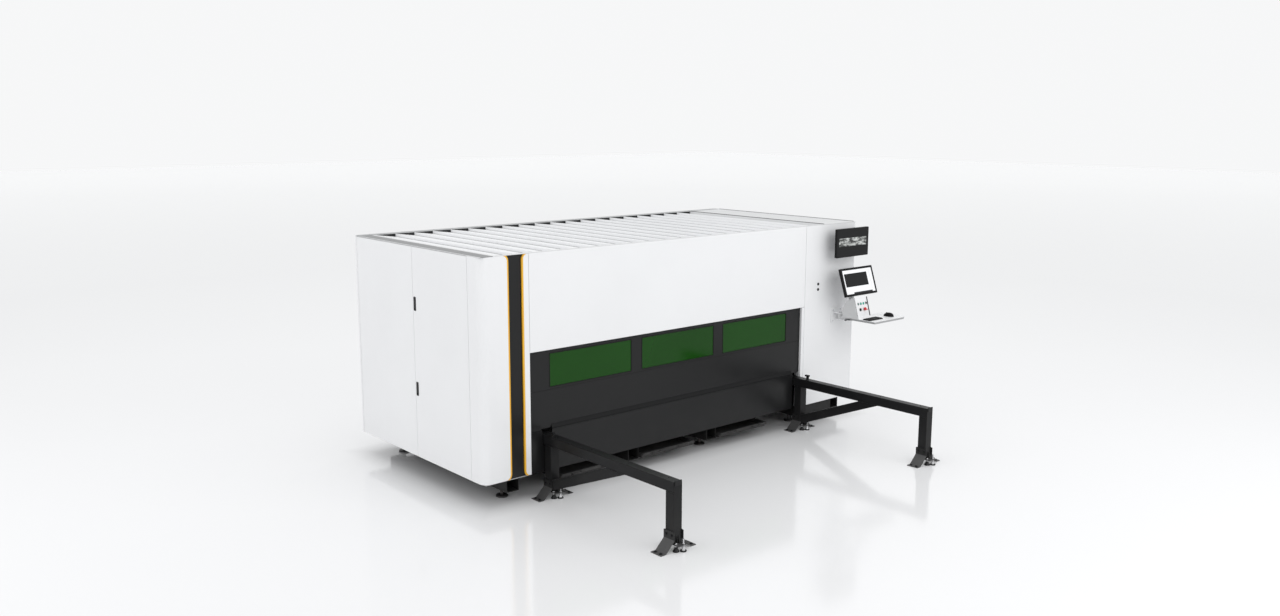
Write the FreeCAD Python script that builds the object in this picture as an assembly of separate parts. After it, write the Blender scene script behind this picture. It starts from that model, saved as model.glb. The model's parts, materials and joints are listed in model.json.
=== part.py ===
"""Enclosed fibre laser cutting machine with a roll-out worktable.

Millimetres, +Z up, +X to the right and -Y to the front, where the operator stands.
Everything is drawn about the middle of the enclosure's floor outline, and moved
at the end so that the origin is the middle of the whole machine's footprint.
"""
import FreeCAD, Part
import math
import os

# ------------------------------------------------------------ driving dimensions
# enclosure
ENC_LENGTH = 4500.0
ENC_DEPTH = 2028.0
ENC_HEIGHT = 2005.0
PANEL_GAP_BELOW = 202.0      # floor to the lower edge of the white panels
SHEET = 2.0                  # folded sheet thickness
FOLD = 25.0                  # depth of a panel's folded edges
SEAM = 3.0                   # gap between neighbouring panels
ROOF_SHEET = 4.0
COLUMN_WIDTH = 251.0         # rounded corner column, front face
COLUMN_SIDE = 178.0          # the same column's side face
COLUMN_BEND_R = 70.0
COLUMN_CORNER_R = 45.0
STRIPE_WIDTH = 152.0         # dark stripe beside the column, its trims included
TRIM_WIDTH = 14.0
STRIPE_RECESS = 14.0
STRIP_WIDTH = 49.0           # white strip between the stripe and the opening
OPENING_WIDTH = 3261.0
HEADER_HEIGHT = 799.0
STRIP_RIGHT_WIDTH = 37.0
FRAME_TUBE = 50.0            # enclosure uprights and top tubes
FRAME_WALL = 3.0
FRAME_OFFSET = 0.3           # folded edges to the frame tubes
DOOR_OFFSET = 6.0            # door edges to the frame tubes, for the swing

# roof
RIM_LEFT = 160.0
RIM_RIGHT = 470.0
RIM_FRONT = 40.0
RIM_REAR = 80.0
BLADE_COUNT = 20
BLADE_RISE = 20.0
BLADE_LAP = 10.0
LEDGE = 25.0

# base
TUBE_W = 120.0
TUBE_H = 110.0
TUBE_WALL = 6.0
BASE_UNDERSIDE = 80.0
TUBE_SETBACK = 50.0          # enclosure front to the open ends of the base tubes
TUBE_INSETS = (-152.0, 1123.0, 2080.0, 3343.0)   # tube centres from the opening's left edge
END_TUBE_INSET = 190.0       # last tube's centre from the right end
CROSSBEAM_SETBACK = 150.0    # enclosure front to the cross beam behind the tube ends
SHALLOW_BEAM_H = 50.0
PAD_R = 50.0
PAD_H = 16.0
SCREW_R = 12.0
NUT_R = 22.0
NUT_H = 18.0

# slag trays
TRAY_WIDTH = 620.0
TRAY_DEPTH = 1380.0
TRAY_HEIGHT = 44.0
TRAY_INSETS = (618.0, 1508.0, 2473.0)            # tray centres from the opening's left edge
TRAY_LIP = 22.0
RUNNER_T = 4.0
RUNNER_LEG = 24.0
SLIDE_GAP = 0.3              # any piece that slides or rolls to its seat

# support arms and inner tracks
ARM_TUBE = 82.0
ARM_TOP = 515.0
ARM_REACH = 1560.0           # enclosure front to the front of the arms
ARM_LEFT_INSET = 122.0       # opening's left edge to the left arm
ARM_RIGHT_INSET = 16.0       # right arm to the opening's right edge
ARM_WALL = 5.0
POST_SETOUT = 99.0           # enclosure front to the front of the rear post
LEG_BOTTOM = 53.0
BRACE_RUN = 922.0            # rear post to where the brace's lower edge meets the beam
ANCHOR_T = 6.0
ANCHOR_W = 100.0
ANCHOR_RISE = 100.0
ANCHOR_OUT = 82.0
ANCHOR_TAB = 48.0
ANCHOR_FLANGE = 46.0
ARM_PLATE_T = 8.0
ARM_PAD_R = 0.28 * ARM_TUBE
ARM_PAD_H = 9.0
ARM_SCREW_R = 6.0
STOP_W = 27.0
STOP_H = 36.0
STOP_L = 44.0
TRACK_REAR = 940.0

# worktable
SKIRT_HEIGHT = 343.0
SKIRT_RIGHT_GAP = 113.0      # skirt's right end to the opening's right edge
NOTCH_GAP = 8.0              # round the left track, where it passes the skirt
TABLE_OVERHANG = 6.0         # table's side tube beyond the track's outer side
WHEEL_INSET = 8.0            # wheel to the track's inner side
TABLE_TUBE_H = 120.0
TABLE_REAR = 800.0
TABLE_CROSS_W = 60.0
WHEEL_R = 40.0
WHEEL_W = 28.0
AXLE_R = 10.0
FIT = 0.05                   # radial running fit of every axle and pin
AXLE_PLATE = 12.0
TABLE_TUBE_W = ARM_TUBE + TABLE_OVERHANG - WHEEL_INSET - WHEEL_W - AXLE_PLATE
FRONT_WHEEL_Y = -900.0
REAR_WHEEL_Y = 700.0
SLAT_T = 4.0
SLAT_H = 100.0
SLAT_PITCH = 100.0
TOOTH = 22.0
TOOTH_STEP = 56.0
FRONT_RECESS = 22.0          # enclosure front to the table's front panel
FRONT_DEPTH = 30.0
FRONT_TOP_GAP = 10.0
APRON_GAP = 10.0             # skirt to the table's front panel and tubes
WINDOW_W = 862.0
WINDOW_H = 272.0
WINDOW_TOP_GAP = 28.0
WINDOW_GAP = 127.0
PANE_T = 5.0
PANE_LAP = 14.0

# gantry
RAIL_BEAM_W = 120.0
RAIL_BEAM_H = 120.0
RAIL_BEAM_TOP = 920.0
RAIL_BEAM_Y = 840.0
RAIL_W = 30.0
RAIL_H = 28.0
BLOCK_L = 90.0
BLOCK_W = 70.0
BLOCK_H = 58.0
TRUCK_T = 25.0
TRUCK_W = 180.0
TRUCK_BACK = 150.0           # gantry centre to the truck's left end
TRUCK_FRONT = 100.0
GANTRY_W = 140.0
GANTRY_H = 180.0
GANTRY_WALL = 8.0
PARK_INSET = 158.0           # opening's left edge to the parked gantry's middle
MOTOR_W = 70.0
MOTOR_H = 190.0
Y_RAIL = 20.0
CARRIAGE_W = 180.0
CARRIAGE_T = 18.0
HEAD_W = 80.0
NOZZLE_CLEAR = 33.0          # slat tips to the nozzle

# doors on the left end
DOOR_SPLIT = 11.0            # seam between the two leaves, from the middle
HINGE_PIN_R = 3.0
KNUCKLE_R = 5.5
HINGE_INSET = 6.0            # pin centre behind the door's outer face
HINGE_EDGE = 8.0             # pin centre from the door's edge
KNUCKLE_L = 60.0
LUG_T = 6.0
HINGE_HEIGHTS = (420.0, 1100.0, 1780.0)
LOCK_HEIGHTS = (798.0, 1523.0)
LOCK_W = 34.0
LOCK_L = 118.0
LOCK_INSET = 12.0            # lock to the leaf's free edge
LOCK_PROUD = 3.0
PADDLE_W = 18.0
PADDLE_L = 80.0
PADDLE_T = 7.0

# console and monitors
CONSOLE_INSET = 220.0        # console's middle from the right end
MONITOR_W = 495.0
MONITOR_H = 285.0
MONITOR_T = 24.0
BEZEL = 22.0
UPPER_FACE = 150.0           # enclosure front to the upper monitor's screen
UPPER_BOTTOM = 1680.0
LOWER_TILT = 18.4
LOWER_BOTTOM_Z = 1304.0
LOWER_BOTTOM_OUT = 270.0
LOWER_SHIFT = 26.0           # lower monitor's middle to the upper monitor's middle
HOUSING_W = 205.0
HOUSING_SHIFT = -4.0         # housing's middle to the upper monitor's middle
HOUSING_TOP = 1292.0
SHELF_TOP = 1075.0
SHELF_T = 20.0
SHELF_W = 548.0
SHELF_D = 310.0
SHELF_R = 110.0
SHELF_LEFT = 95.0            # console centre to the shelf's left end
BUTTON_R = 11.0
BUTTON_OUT = 5.0
ESTOP_R = 16.0
MOUSE_W = 66.0
MOUSE_L = 112.0
MOUSE_H = 38.0

# ---------------------------------------------------------------- worked-out places
X0 = -ENC_LENGTH / 2
X1 = ENC_LENGTH / 2
Y0 = -ENC_DEPTH / 2
Y1 = ENC_DEPTH / 2
PANEL_Z0 = PANEL_GAP_BELOW
PANEL_Z1 = ENC_HEIGHT - ROOF_SHEET
STRIPE_X0 = X0 + COLUMN_WIDTH
STRIPE_X1 = STRIPE_X0 + STRIPE_WIDTH
OPEN_X0 = STRIPE_X1 + STRIP_WIDTH
OPEN_X1 = OPEN_X0 + OPENING_WIDTH
HEADER_Z0 = ENC_HEIGHT - HEADER_HEIGHT
RIGHT_X0 = OPEN_X1 + STRIP_RIGHT_WIDTH
TUBE_PLACES = [OPEN_X0 + inset for inset in TUBE_INSETS] + [X1 - END_TUBE_INSET]
TRAY_PLACES = [OPEN_X0 + inset for inset in TRAY_INSETS]
GANTRY_PARK = OPEN_X0 + PARK_INSET
CONSOLE_X = X1 - CONSOLE_INSET
BASE_TOP = BASE_UNDERSIDE + TUBE_H
TUBE_FRONT = Y0 + TUBE_SETBACK
TUBE_REAR = -TUBE_FRONT
BEAM_FRONT = Y0 + CROSSBEAM_SETBACK
ARM_X = (OPEN_X0 + ARM_LEFT_INSET, OPEN_X1 - ARM_RIGHT_INSET - ARM_TUBE)
ARM_FRONT = Y0 - ARM_REACH
POST_FRONT = Y0 - POST_SETOUT
POST_REAR = POST_FRONT + ARM_TUBE
ARM_UNDER = ARM_TOP - ARM_TUBE
SKIRT_Z1 = PANEL_Z0 + SKIRT_HEIGHT
SKIRT_FRONT = Y0 + SHEET
SKIRT_BACK = TUBE_FRONT - SLIDE_GAP
LEFT_FRAME = X0 + FOLD + DOOR_OFFSET
TABLE_Z0 = SKIRT_Z1 + APRON_GAP
TABLE_Z1 = TABLE_Z0 + TABLE_TUBE_H
WHEEL_Z = ARM_TOP + WHEEL_R + SLIDE_GAP
FRONT_Y = Y0 + FRONT_RECESS
TABLE_FRONT = FRONT_Y + FRONT_DEPTH
TABLE_X0 = ARM_X[0] - TABLE_OVERHANG
TABLE_X1 = ARM_X[1] + ARM_TUBE + TABLE_OVERHANG
SLAT_Z0 = TABLE_Z0 + 80.0
SLAT_TOP = SLAT_Z0 + SLAT_H
WINDOW_Z1 = HEADER_Z0 - FRONT_TOP_GAP - WINDOW_TOP_GAP
RAIL_BEAM_Z0 = RAIL_BEAM_TOP - RAIL_BEAM_H
RAIL_TOP = RAIL_BEAM_TOP + RAIL_H
TRUCK_Z0 = RAIL_BEAM_TOP + BLOCK_H
GANTRY_Z0 = TRUCK_Z0 + TRUCK_T
LEFT_POST_X = TUBE_PLACES[0] + 50.0
RIGHT_POST_X = TUBE_PLACES[3]
Z_AXIS = FreeCAD.Vector(0, 0, 1)
Y_AXIS = FreeCAD.Vector(0, 1, 0)
X_AXIS = FreeCAD.Vector(1, 0, 0)

PARTS = {}


# ------------------------------------------------------------------------- helpers
def vec(x, y, z):
    return FreeCAD.Vector(x, y, z)


def box(xa, xb, ya, yb, za, zb):
    """A block between two opposite corners, given in any order."""
    low = vec(min(xa, xb), min(ya, yb), min(za, zb))
    return Part.makeBox(abs(xb - xa), abs(yb - ya), abs(zb - za), low)


def rod(x, y, z, r, length, axis=Z_AXIS):
    """A round bar that starts at a point and runs along an axis."""
    return Part.makeCylinder(r, length, vec(x, y, z), axis)


def tube(xa, xb, ya, yb, za, zb, along, wall):
    """A rectangular hollow section, open at both ends of its long direction."""
    grow = {"x": (1, 0, 0), "y": (0, 1, 0), "z": (0, 0, 1)}[along]
    inset = [wall - g * (wall + 1.0) for g in grow]
    hollow = box(xa + inset[0], xb - inset[0], ya + inset[1], yb - inset[1],
                 za + inset[2], zb - inset[2])
    return box(xa, xb, ya, yb, za, zb).cut(hollow)


def pan(xa, xb, ya, yb, za, zb, open_side, t=SHEET):
    """A folded panel: one face sheet and four turned edges, open on one side."""
    low = [xa + t, ya + t, za + t]
    high = [xb - t, yb - t, zb - t]
    axis = "xyz".index(open_side[1])
    if open_side[0] == "+":
        high[axis] += t + 1.0
    else:
        low[axis] -= t + 1.0
    return box(xa, xb, ya, yb, za, zb).cut(box(low[0], high[0], low[1], high[1], low[2], high[2]))


def prism_x(points, xa, xb):
    """A side-view outline of (y, z) points, drawn out along X."""
    wire = Part.makePolygon([vec(xa, y, z) for y, z in points + points[:1]])
    return Part.Face(wire).extrude(vec(xb - xa, 0, 0))


def prism_y(points, ya, yb):
    """A front-view outline of (x, z) points, drawn out along Y."""
    wire = Part.makePolygon([vec(x, ya, z) for x, z in points + points[:1]])
    return Part.Face(wire).extrude(vec(0, yb - ya, 0))


def rounded(shape, radius, direction, pick=None):
    """Round the straight edges that run along a direction, or those that pick accepts."""
    edges = []
    for edge in shape.Edges:
        if len(edge.Vertexes) < 2:
            continue
        run = edge.Vertexes[1].Point - edge.Vertexes[0].Point
        if run.Length > 0 and abs(abs(run.normalize().dot(direction)) - 1) < 1e-6:
            if pick is None or pick(edge.CenterOfMass):
                edges.append(edge)
    return shape.makeFillet(radius, edges)


def hexagon(x, y, z, across_r, height):
    """A hexagonal nut blank, standing on z."""
    corners = [vec(x + across_r * math.cos(math.radians(60 * k)),
                   y + across_r * math.sin(math.radians(60 * k)), z) for k in range(7)]
    return Part.Face(Part.makePolygon(corners)).extrude(vec(0, 0, height))


def fuse(solids):
    whole = solids[0]
    for solid in solids[1:]:
        whole = whole.fuse(solid)
    return whole.removeSplitter()


def add(name, *shapes):
    """Keep a node: one solid, or several loose solids of the same kind."""
    solids = []
    for shape in shapes:
        solids.extend(shape.Solids)
    PARTS[name] = Part.makeCompound(solids)


# ---------------------------------------------------------------------------- base
def base_tube_spans():
    return [(x - TUBE_W / 2, x + TUBE_W / 2) for x in TUBE_PLACES]


def cross_beams():
    """Beams between the base tubes: shallow over the trays, deep in the end bay."""
    beams = []
    spans = base_tube_spans()
    for left, right in zip(spans[:-1], spans[1:]):
        xa, xb = left[1], right[0]
        rear_y = -BEAM_FRONT
        beams.append(tube(xa, xb, rear_y - TUBE_W, rear_y, BASE_UNDERSIDE, BASE_TOP, "x", TUBE_WALL))
        if left == spans[3]:
            beams.append(tube(xa, xb, TUBE_FRONT, TUBE_FRONT + TUBE_W, BASE_UNDERSIDE, BASE_TOP,
                              "x", TUBE_WALL))
        else:
            beams.append(tube(xa, xb, BEAM_FRONT, BEAM_FRONT + TUBE_W, BASE_TOP - SHALLOW_BEAM_H,
                              BASE_TOP, "x", TUBE_WALL))
    return beams


def bed_uprights():
    """Four posts that carry the rail beams, on the base tubes."""
    half = TUBE_W / 2
    posts = []
    for x in (LEFT_POST_X, RIGHT_POST_X):
        for y in (-RAIL_BEAM_Y, RAIL_BEAM_Y):
            posts.append(tube(x - half, x + half, y - half, y + half, BASE_TOP, RAIL_BEAM_Z0,
                              "z", TUBE_WALL))
    return posts


def track_posts():
    """Short posts between the base's cross beams and the inner tracks."""
    posts = []
    centre = BEAM_FRONT + TUBE_W / 2
    for x in ARM_X:
        for y in (centre, -centre):
            posts.append(tube(x, x + ARM_TUBE, y - ARM_TUBE / 2, y + ARM_TUBE / 2, BASE_TOP,
                              ARM_UNDER, "z", ARM_WALL))
    return posts


def tray_runners():
    """An angle each side of every tray, hung under the shallow beams."""
    runners = []
    z0 = BASE_UNDERSIDE + RUNNER_T
    z1 = BASE_TOP - SHALLOW_BEAM_H
    half = TRAY_WIDTH / 2 + SLIDE_GAP
    for x in TRAY_PLACES:
        for side in (-1, 1):
            wall = x + side * half
            upright = box(wall, wall + side * RUNNER_T, BEAM_FRONT, -BEAM_FRONT - TUBE_W, z0, z1)
            foot = box(wall - side * RUNNER_LEG, wall + side * RUNNER_T, BEAM_FRONT,
                       -BEAM_FRONT - TUBE_W, z0, z0 + RUNNER_T)
            runners.append(fuse([upright, foot]))
    return runners


def skirt_supports():
    """Posts on the middle base tubes that hold the front skirt."""
    half = FRAME_TUBE / 2
    return [tube(x - half, x + half, TUBE_FRONT, TUBE_FRONT + FRAME_TUBE, BASE_TOP, SKIRT_Z1 - 10.0,
                 "z", FRAME_WALL) for x in TUBE_PLACES[1:3]]


def make_base():
    tubes = [tube(xa, xb, TUBE_FRONT, TUBE_REAR, BASE_UNDERSIDE, BASE_TOP, "y", TUBE_WALL)
             for xa, xb in base_tube_spans()]
    add("base_frame", *tubes, *cross_beams(), *bed_uprights(), *track_posts(), *tray_runners(),
        *skirt_supports())
    feet = []
    for x in TUBE_PLACES:
        for y in (BEAM_FRONT + TUBE_W / 2, -BEAM_FRONT - TUBE_W / 2):
            pad = rod(x, y, 0, PAD_R, PAD_H)
            pad = pad.makeChamfer(PAD_H / 3, [e for e in pad.Edges if e.BoundBox.ZMin > PAD_H / 2])
            screw = rod(x, y, PAD_H, SCREW_R, BASE_UNDERSIDE - PAD_H)
            nut = hexagon(x, y, BASE_UNDERSIDE - NUT_H, NUT_R, NUT_H)
            feet.append(fuse([pad, screw, nut]))
    add("base_feet", *feet)


def make_slag_trays():
    names = ("left_slag_tray", "middle_slag_tray", "right_slag_tray")
    z0 = BASE_UNDERSIDE + 2 * RUNNER_T + SLIDE_GAP
    front = Y0 + TRAY_LIP + SHEET
    for name, x in zip(names, TRAY_PLACES):
        half = TRAY_WIDTH / 2
        tray = pan(x - half, x + half, front, front + TRAY_DEPTH, z0, z0 + TRAY_HEIGHT, "+z")
        lip = box(x - half, x + half, front - TRAY_LIP, front, z0 + TRAY_HEIGHT - SHEET,
                  z0 + TRAY_HEIGHT)
        hem = box(x - half, x + half, front - TRAY_LIP, front - TRAY_LIP + SHEET,
                  z0 + TRAY_HEIGHT - TRAY_LIP, z0 + TRAY_HEIGHT)
        add(name, fuse([tray, lip, hem]))


# ------------------------------------------------------------- support arms and tracks
def arm_brace(x):
    """Sloping tube from the foot of the rear post to the middle of the beam."""
    low_z = LEG_BOTTOM + 9.0
    slope = (ARM_UNDER - low_z) / BRACE_RUN
    depth = ARM_TUBE / math.cos(math.atan(slope))
    upper_run = (ARM_UNDER - low_z - depth) / slope
    points = [(POST_FRONT, low_z), (POST_FRONT, low_z + depth),
              (POST_FRONT - upper_run, ARM_UNDER), (POST_FRONT - BRACE_RUN, ARM_UNDER)]
    return prism_x(points, x, x + ARM_TUBE)


def anchor(x_face, side, y_centre):
    """A bent plate from a leg's side face down and out to the floor."""
    t = ANCHOR_T
    top = ANCHOR_RISE + ANCHOR_FLANGE
    outline = [(0, top), (0, ANCHOR_RISE), (ANCHOR_OUT, 0), (ANCHOR_OUT + ANCHOR_TAB, 0),
               (ANCHOR_OUT + ANCHOR_TAB, t), (ANCHOR_OUT + t * 0.4, t), (t, ANCHOR_RISE + t * 0.4),
               (t, top)]
    points = [(x_face + side * u, z) for u, z in outline]
    return prism_y(points, y_centre - ANCHOR_W / 2, y_centre + ANCHOR_W / 2)


def arm_stop(x_outer, side):
    """End stop near the rear of an arm: a stem with a wider head."""
    ya = POST_FRONT + 2.0
    stem = box(x_outer, x_outer - side * STOP_W * 0.7, ya - STOP_L * 0.75, ya - STOP_L * 0.25,
               ARM_TOP, ARM_TOP + STOP_H * 0.6)
    head = box(x_outer, x_outer - side * STOP_W, ya - STOP_L, ya, ARM_TOP + STOP_H * 0.6,
               ARM_TOP + STOP_H)
    return fuse([stem, head])


def make_arms():
    tubes, plates, feet, tracks = [], [], [], []
    for x, side in zip(ARM_X, (-1, 1)):
        xb = x + ARM_TUBE
        outer = x if side < 0 else xb
        beam = box(x, xb, ARM_FRONT, POST_REAR, ARM_UNDER, ARM_TOP)
        tubes.append(rounded(beam, 6.0, Y_AXIS))
        for ya in (ARM_FRONT, POST_FRONT):
            leg = box(x, xb, ya, ya + ARM_TUBE, LEG_BOTTOM, ARM_UNDER)
            tubes.append(leg)
            centre = ya + ARM_TUBE / 2
            sole = box(x + 4.0, xb - 4.0, ya - 52.0, ya + ARM_TUBE - 4.0, LEG_BOTTOM - ARM_PLATE_T,
                       LEG_BOTTOM)
            plates.append(sole)
            plates.append(anchor(x, -1, centre))
            plates.append(anchor(xb, 1, centre))
            feet.append(arm_foot(x + 16.0, ya - 13.0))
            feet.append(arm_foot(xb - 20.0, ya - 40.0))
        tubes.append(arm_brace(x))
        plates.append(arm_stop(outer, side))
        plates.append(box(x + 8.0, xb - 8.0, ARM_FRONT - ANCHOR_T, ARM_FRONT, ARM_TOP - 30.0,
                          ARM_TOP + 8.0))
        tracks.append(tube(x, xb, POST_REAR + SLIDE_GAP, TRACK_REAR, ARM_UNDER, ARM_TOP, "y",
                           ARM_WALL))
    add("support_arms", *tubes)
    add("arm_plates", *plates)
    add("arm_levelling_feet", *feet)
    add("inner_tracks", *tracks)


def arm_foot(x, y):
    """Levelling foot under a sole plate: pad, screw and lock nut."""
    top = LEG_BOTTOM - ARM_PLATE_T
    pad = rod(x, y, 0, ARM_PAD_R, ARM_PAD_H * 0.5)
    crown = Part.makeCone(ARM_PAD_R, ARM_SCREW_R * 1.6, ARM_PAD_H * 0.5, vec(x, y, ARM_PAD_H * 0.5))
    screw = rod(x, y, ARM_PAD_H, ARM_SCREW_R, top - ARM_PAD_H)
    nut = hexagon(x, y, top - ARM_PAD_H, ARM_SCREW_R * 1.8, ARM_PAD_H)
    return fuse([pad, crown, screw, nut])


# ----------------------------------------------------------------------- enclosure
def make_corner_column():
    """Bent corner sheet with a rear fold that reaches the hinge post."""
    outer = box(X0, STRIPE_X0, Y0, Y0 + COLUMN_SIDE, PANEL_Z0, PANEL_Z1)
    outer = rounded(outer, COLUMN_BEND_R, Z_AXIS, lambda p: p.x < X0 + 1 and p.y < Y0 + 1)
    inner = box(X0 + SHEET, STRIPE_X0 - SHEET, Y0 + SHEET, Y0 + COLUMN_SIDE - SHEET, PANEL_Z0 - 1,
                PANEL_Z1 + 1)
    inner = rounded(inner, COLUMN_BEND_R - SHEET, Z_AXIS,
                    lambda p: p.x < X0 + SHEET + 1 and p.y < Y0 + SHEET + 1)
    column = outer.cut(inner)
    column = column.cut(box(LEFT_FRAME - FRAME_OFFSET, STRIPE_X0 + 1, Y0 + STRIPE_RECESS,
                            Y0 + COLUMN_SIDE + 1, PANEL_Z0 - 1, PANEL_Z1 + 1))
    keep = box(X0 - 1, STRIPE_X0, Y0 - 1, Y0 + COLUMN_SIDE + 1, PANEL_Z0, PANEL_Z1)
    keep = rounded(keep, COLUMN_CORNER_R, Y_AXIS, lambda p: p.x > STRIPE_X0 - 1)
    add("corner_column", column.common(keep))


def stripe_band(side):
    """Trim that edges the stripe on one side and follows the rounded panel corners."""
    r = COLUMN_CORNER_R
    if side < 0:
        xa, xb = STRIPE_X0 - 3 * r, STRIPE_X0
        grow = TRIM_WIDTH
    else:
        xa, xb = STRIPE_X1, STRIPE_X1 + STRIP_WIDTH
        grow = -TRIM_WIDTH

    def right_end(p):
        return abs(p.x - (xb + grow)) < 1e-6 if side < 0 else abs(p.x - (xa + grow)) < 1e-6

    def inner_end(p):
        return abs(p.x - (xb if side < 0 else xa)) < 1e-6

    front = Y0 + SHEET
    back = Y0 + STRIPE_RECESS
    if side < 0:
        big = box(xa, xb + grow, front, back, PANEL_Z0 - TRIM_WIDTH, PANEL_Z1 + TRIM_WIDTH)
        small = box(xa - 1, xb, front - 1, back + 1, PANEL_Z0, PANEL_Z1)
    else:
        big = box(xa + grow, xb, front, back, PANEL_Z0 - TRIM_WIDTH, PANEL_Z1 + TRIM_WIDTH)
        small = box(xa, xb + 1, front - 1, back + 1, PANEL_Z0, PANEL_Z1)
    big = rounded(big, r + TRIM_WIDTH, Y_AXIS, right_end)
    small = rounded(small, r, Y_AXIS, inner_end)
    band = big.cut(small)
    return band.common(box(min(xa, xa + grow), max(xb, xb + grow), front, back, PANEL_Z0,
                           PANEL_Z1))


def make_stripe():
    channel = pan(STRIPE_X0 - COLUMN_CORNER_R, STRIPE_X1 + STRIP_WIDTH - 6.0, Y0 + STRIPE_RECESS,
                  Y0 + FOLD, PANEL_Z0, PANEL_Z1, "+y")
    add("stripe_channel", channel)
    add("stripe_trims", stripe_band(-1), stripe_band(1))


def make_opening_strips():
    """White strips at the opening's two sides; the left one edges the stripe."""
    left = box(STRIPE_X1, OPEN_X0, Y0, Y0 + STRIPE_RECESS, PANEL_Z0, PANEL_Z1)
    left = rounded(left, COLUMN_CORNER_R * 0.9, Y_AXIS, lambda p: p.x < STRIPE_X1 + 1)
    hollow = box(STRIPE_X1 - 1, OPEN_X0 - SHEET, Y0 + SHEET, Y1, PANEL_Z0 - 1, PANEL_Z1 + 1)
    left = left.cut(hollow)
    flange = box(OPEN_X0 - SHEET, OPEN_X0, Y0, Y0 + 2 * FOLD, PANEL_Z0, HEADER_Z0 - SEAM)
    left = fuse([left, flange])
    right = pan(OPEN_X1, RIGHT_X0, Y0, Y0 + FOLD, PANEL_Z0, HEADER_Z0 - SEAM, "+y")
    add("opening_strips", left, right)


def make_front_panels():
    add("header_panel", pan(OPEN_X0 + SEAM, RIGHT_X0, Y0, Y0 + FOLD, HEADER_Z0, PANEL_Z1, "+y"))
    add("right_front_panel", pan(RIGHT_X0 + SEAM, X1, Y0, Y0 + FOLD, PANEL_Z0, PANEL_Z1, "+y"))
    skirt = pan(OPEN_X0 + 6.0, OPEN_X1 - SKIRT_RIGHT_GAP, SKIRT_FRONT, SKIRT_BACK, PANEL_Z0,
                SKIRT_Z1, "+y")
    notch = box(ARM_X[0] - NOTCH_GAP, ARM_X[0] + ARM_TUBE + NOTCH_GAP, Y0 - 1, Y1,
                ARM_UNDER - NOTCH_GAP, SKIRT_Z1 + 1)
    add("front_skirt", skirt.cut(notch))


def make_rear_and_side():
    side = pan(X1 - FOLD, X1, Y0 + FOLD + SEAM, Y1 - FOLD - SEAM, PANEL_Z0, PANEL_Z1, "-x")
    add("right_side_panel", side)
    third = (ENC_LENGTH - 2 * SEAM) / 3
    backs = []
    for k in range(3):
        xa = X0 + k * (third + SEAM)
        backs.append(pan(xa, xa + third, Y1 - FOLD, Y1, PANEL_Z0, PANEL_Z1, "-y"))
    add("back_panels", *backs)


def make_frame():
    """Enclosure frame: uprights on the base, and top tubes between them."""
    t = FRAME_TUBE
    top = ENC_HEIGHT - 45.0
    front = Y0 + FOLD + FRAME_OFFSET
    rear = Y1 - FOLD - FRAME_OFFSET - t
    left = LEFT_FRAME
    right = X1 - FOLD - FRAME_OFFSET - t
    middles = (OPEN_X0 - SHEET - SEAM - t, OPEN_X1 + SHEET)
    columns = [left, middles[0], middles[1], right]
    solids = []
    for x in columns:
        for y in (front, rear):
            solids.append(tube(x, x + t, y, y + t, BASE_TOP, top, "z", FRAME_WALL))
    hinge_y = Y0 + COLUMN_SIDE - t / 2
    for y in (hinge_y, DOOR_SPLIT - t / 2):
        solids.append(tube(left, left + t, y, y + t, BASE_TOP, top, "z", FRAME_WALL))
    for y in (front, rear):
        for xa, xb in zip(columns[:-1], columns[1:]):
            solids.append(tube(xa + t, xb, y, y + t, top - t, top, "x", FRAME_WALL))
    for x in (left, right):
        spans = ((front + t, rear),)
        if x == left:
            spans = ((front + t, hinge_y), (hinge_y + t, DOOR_SPLIT - t / 2),
                     (DOOR_SPLIT + t / 2, rear))
        for ya, yb in spans:
            for z in (BASE_TOP, top - t):
                solids.append(tube(x, x + t, ya, yb, z, z + t, "y", FRAME_WALL))
    sill_z = BASE_TOP
    for y in (front, rear):
        solids.append(tube(left + t, middles[0], y, y + t, sill_z, sill_z + t, "x", FRAME_WALL))
        solids.append(tube(middles[1] + t, right, y, y + t, sill_z, sill_z + t, "x", FRAME_WALL))
    add("enclosure_frame", *solids)


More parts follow.
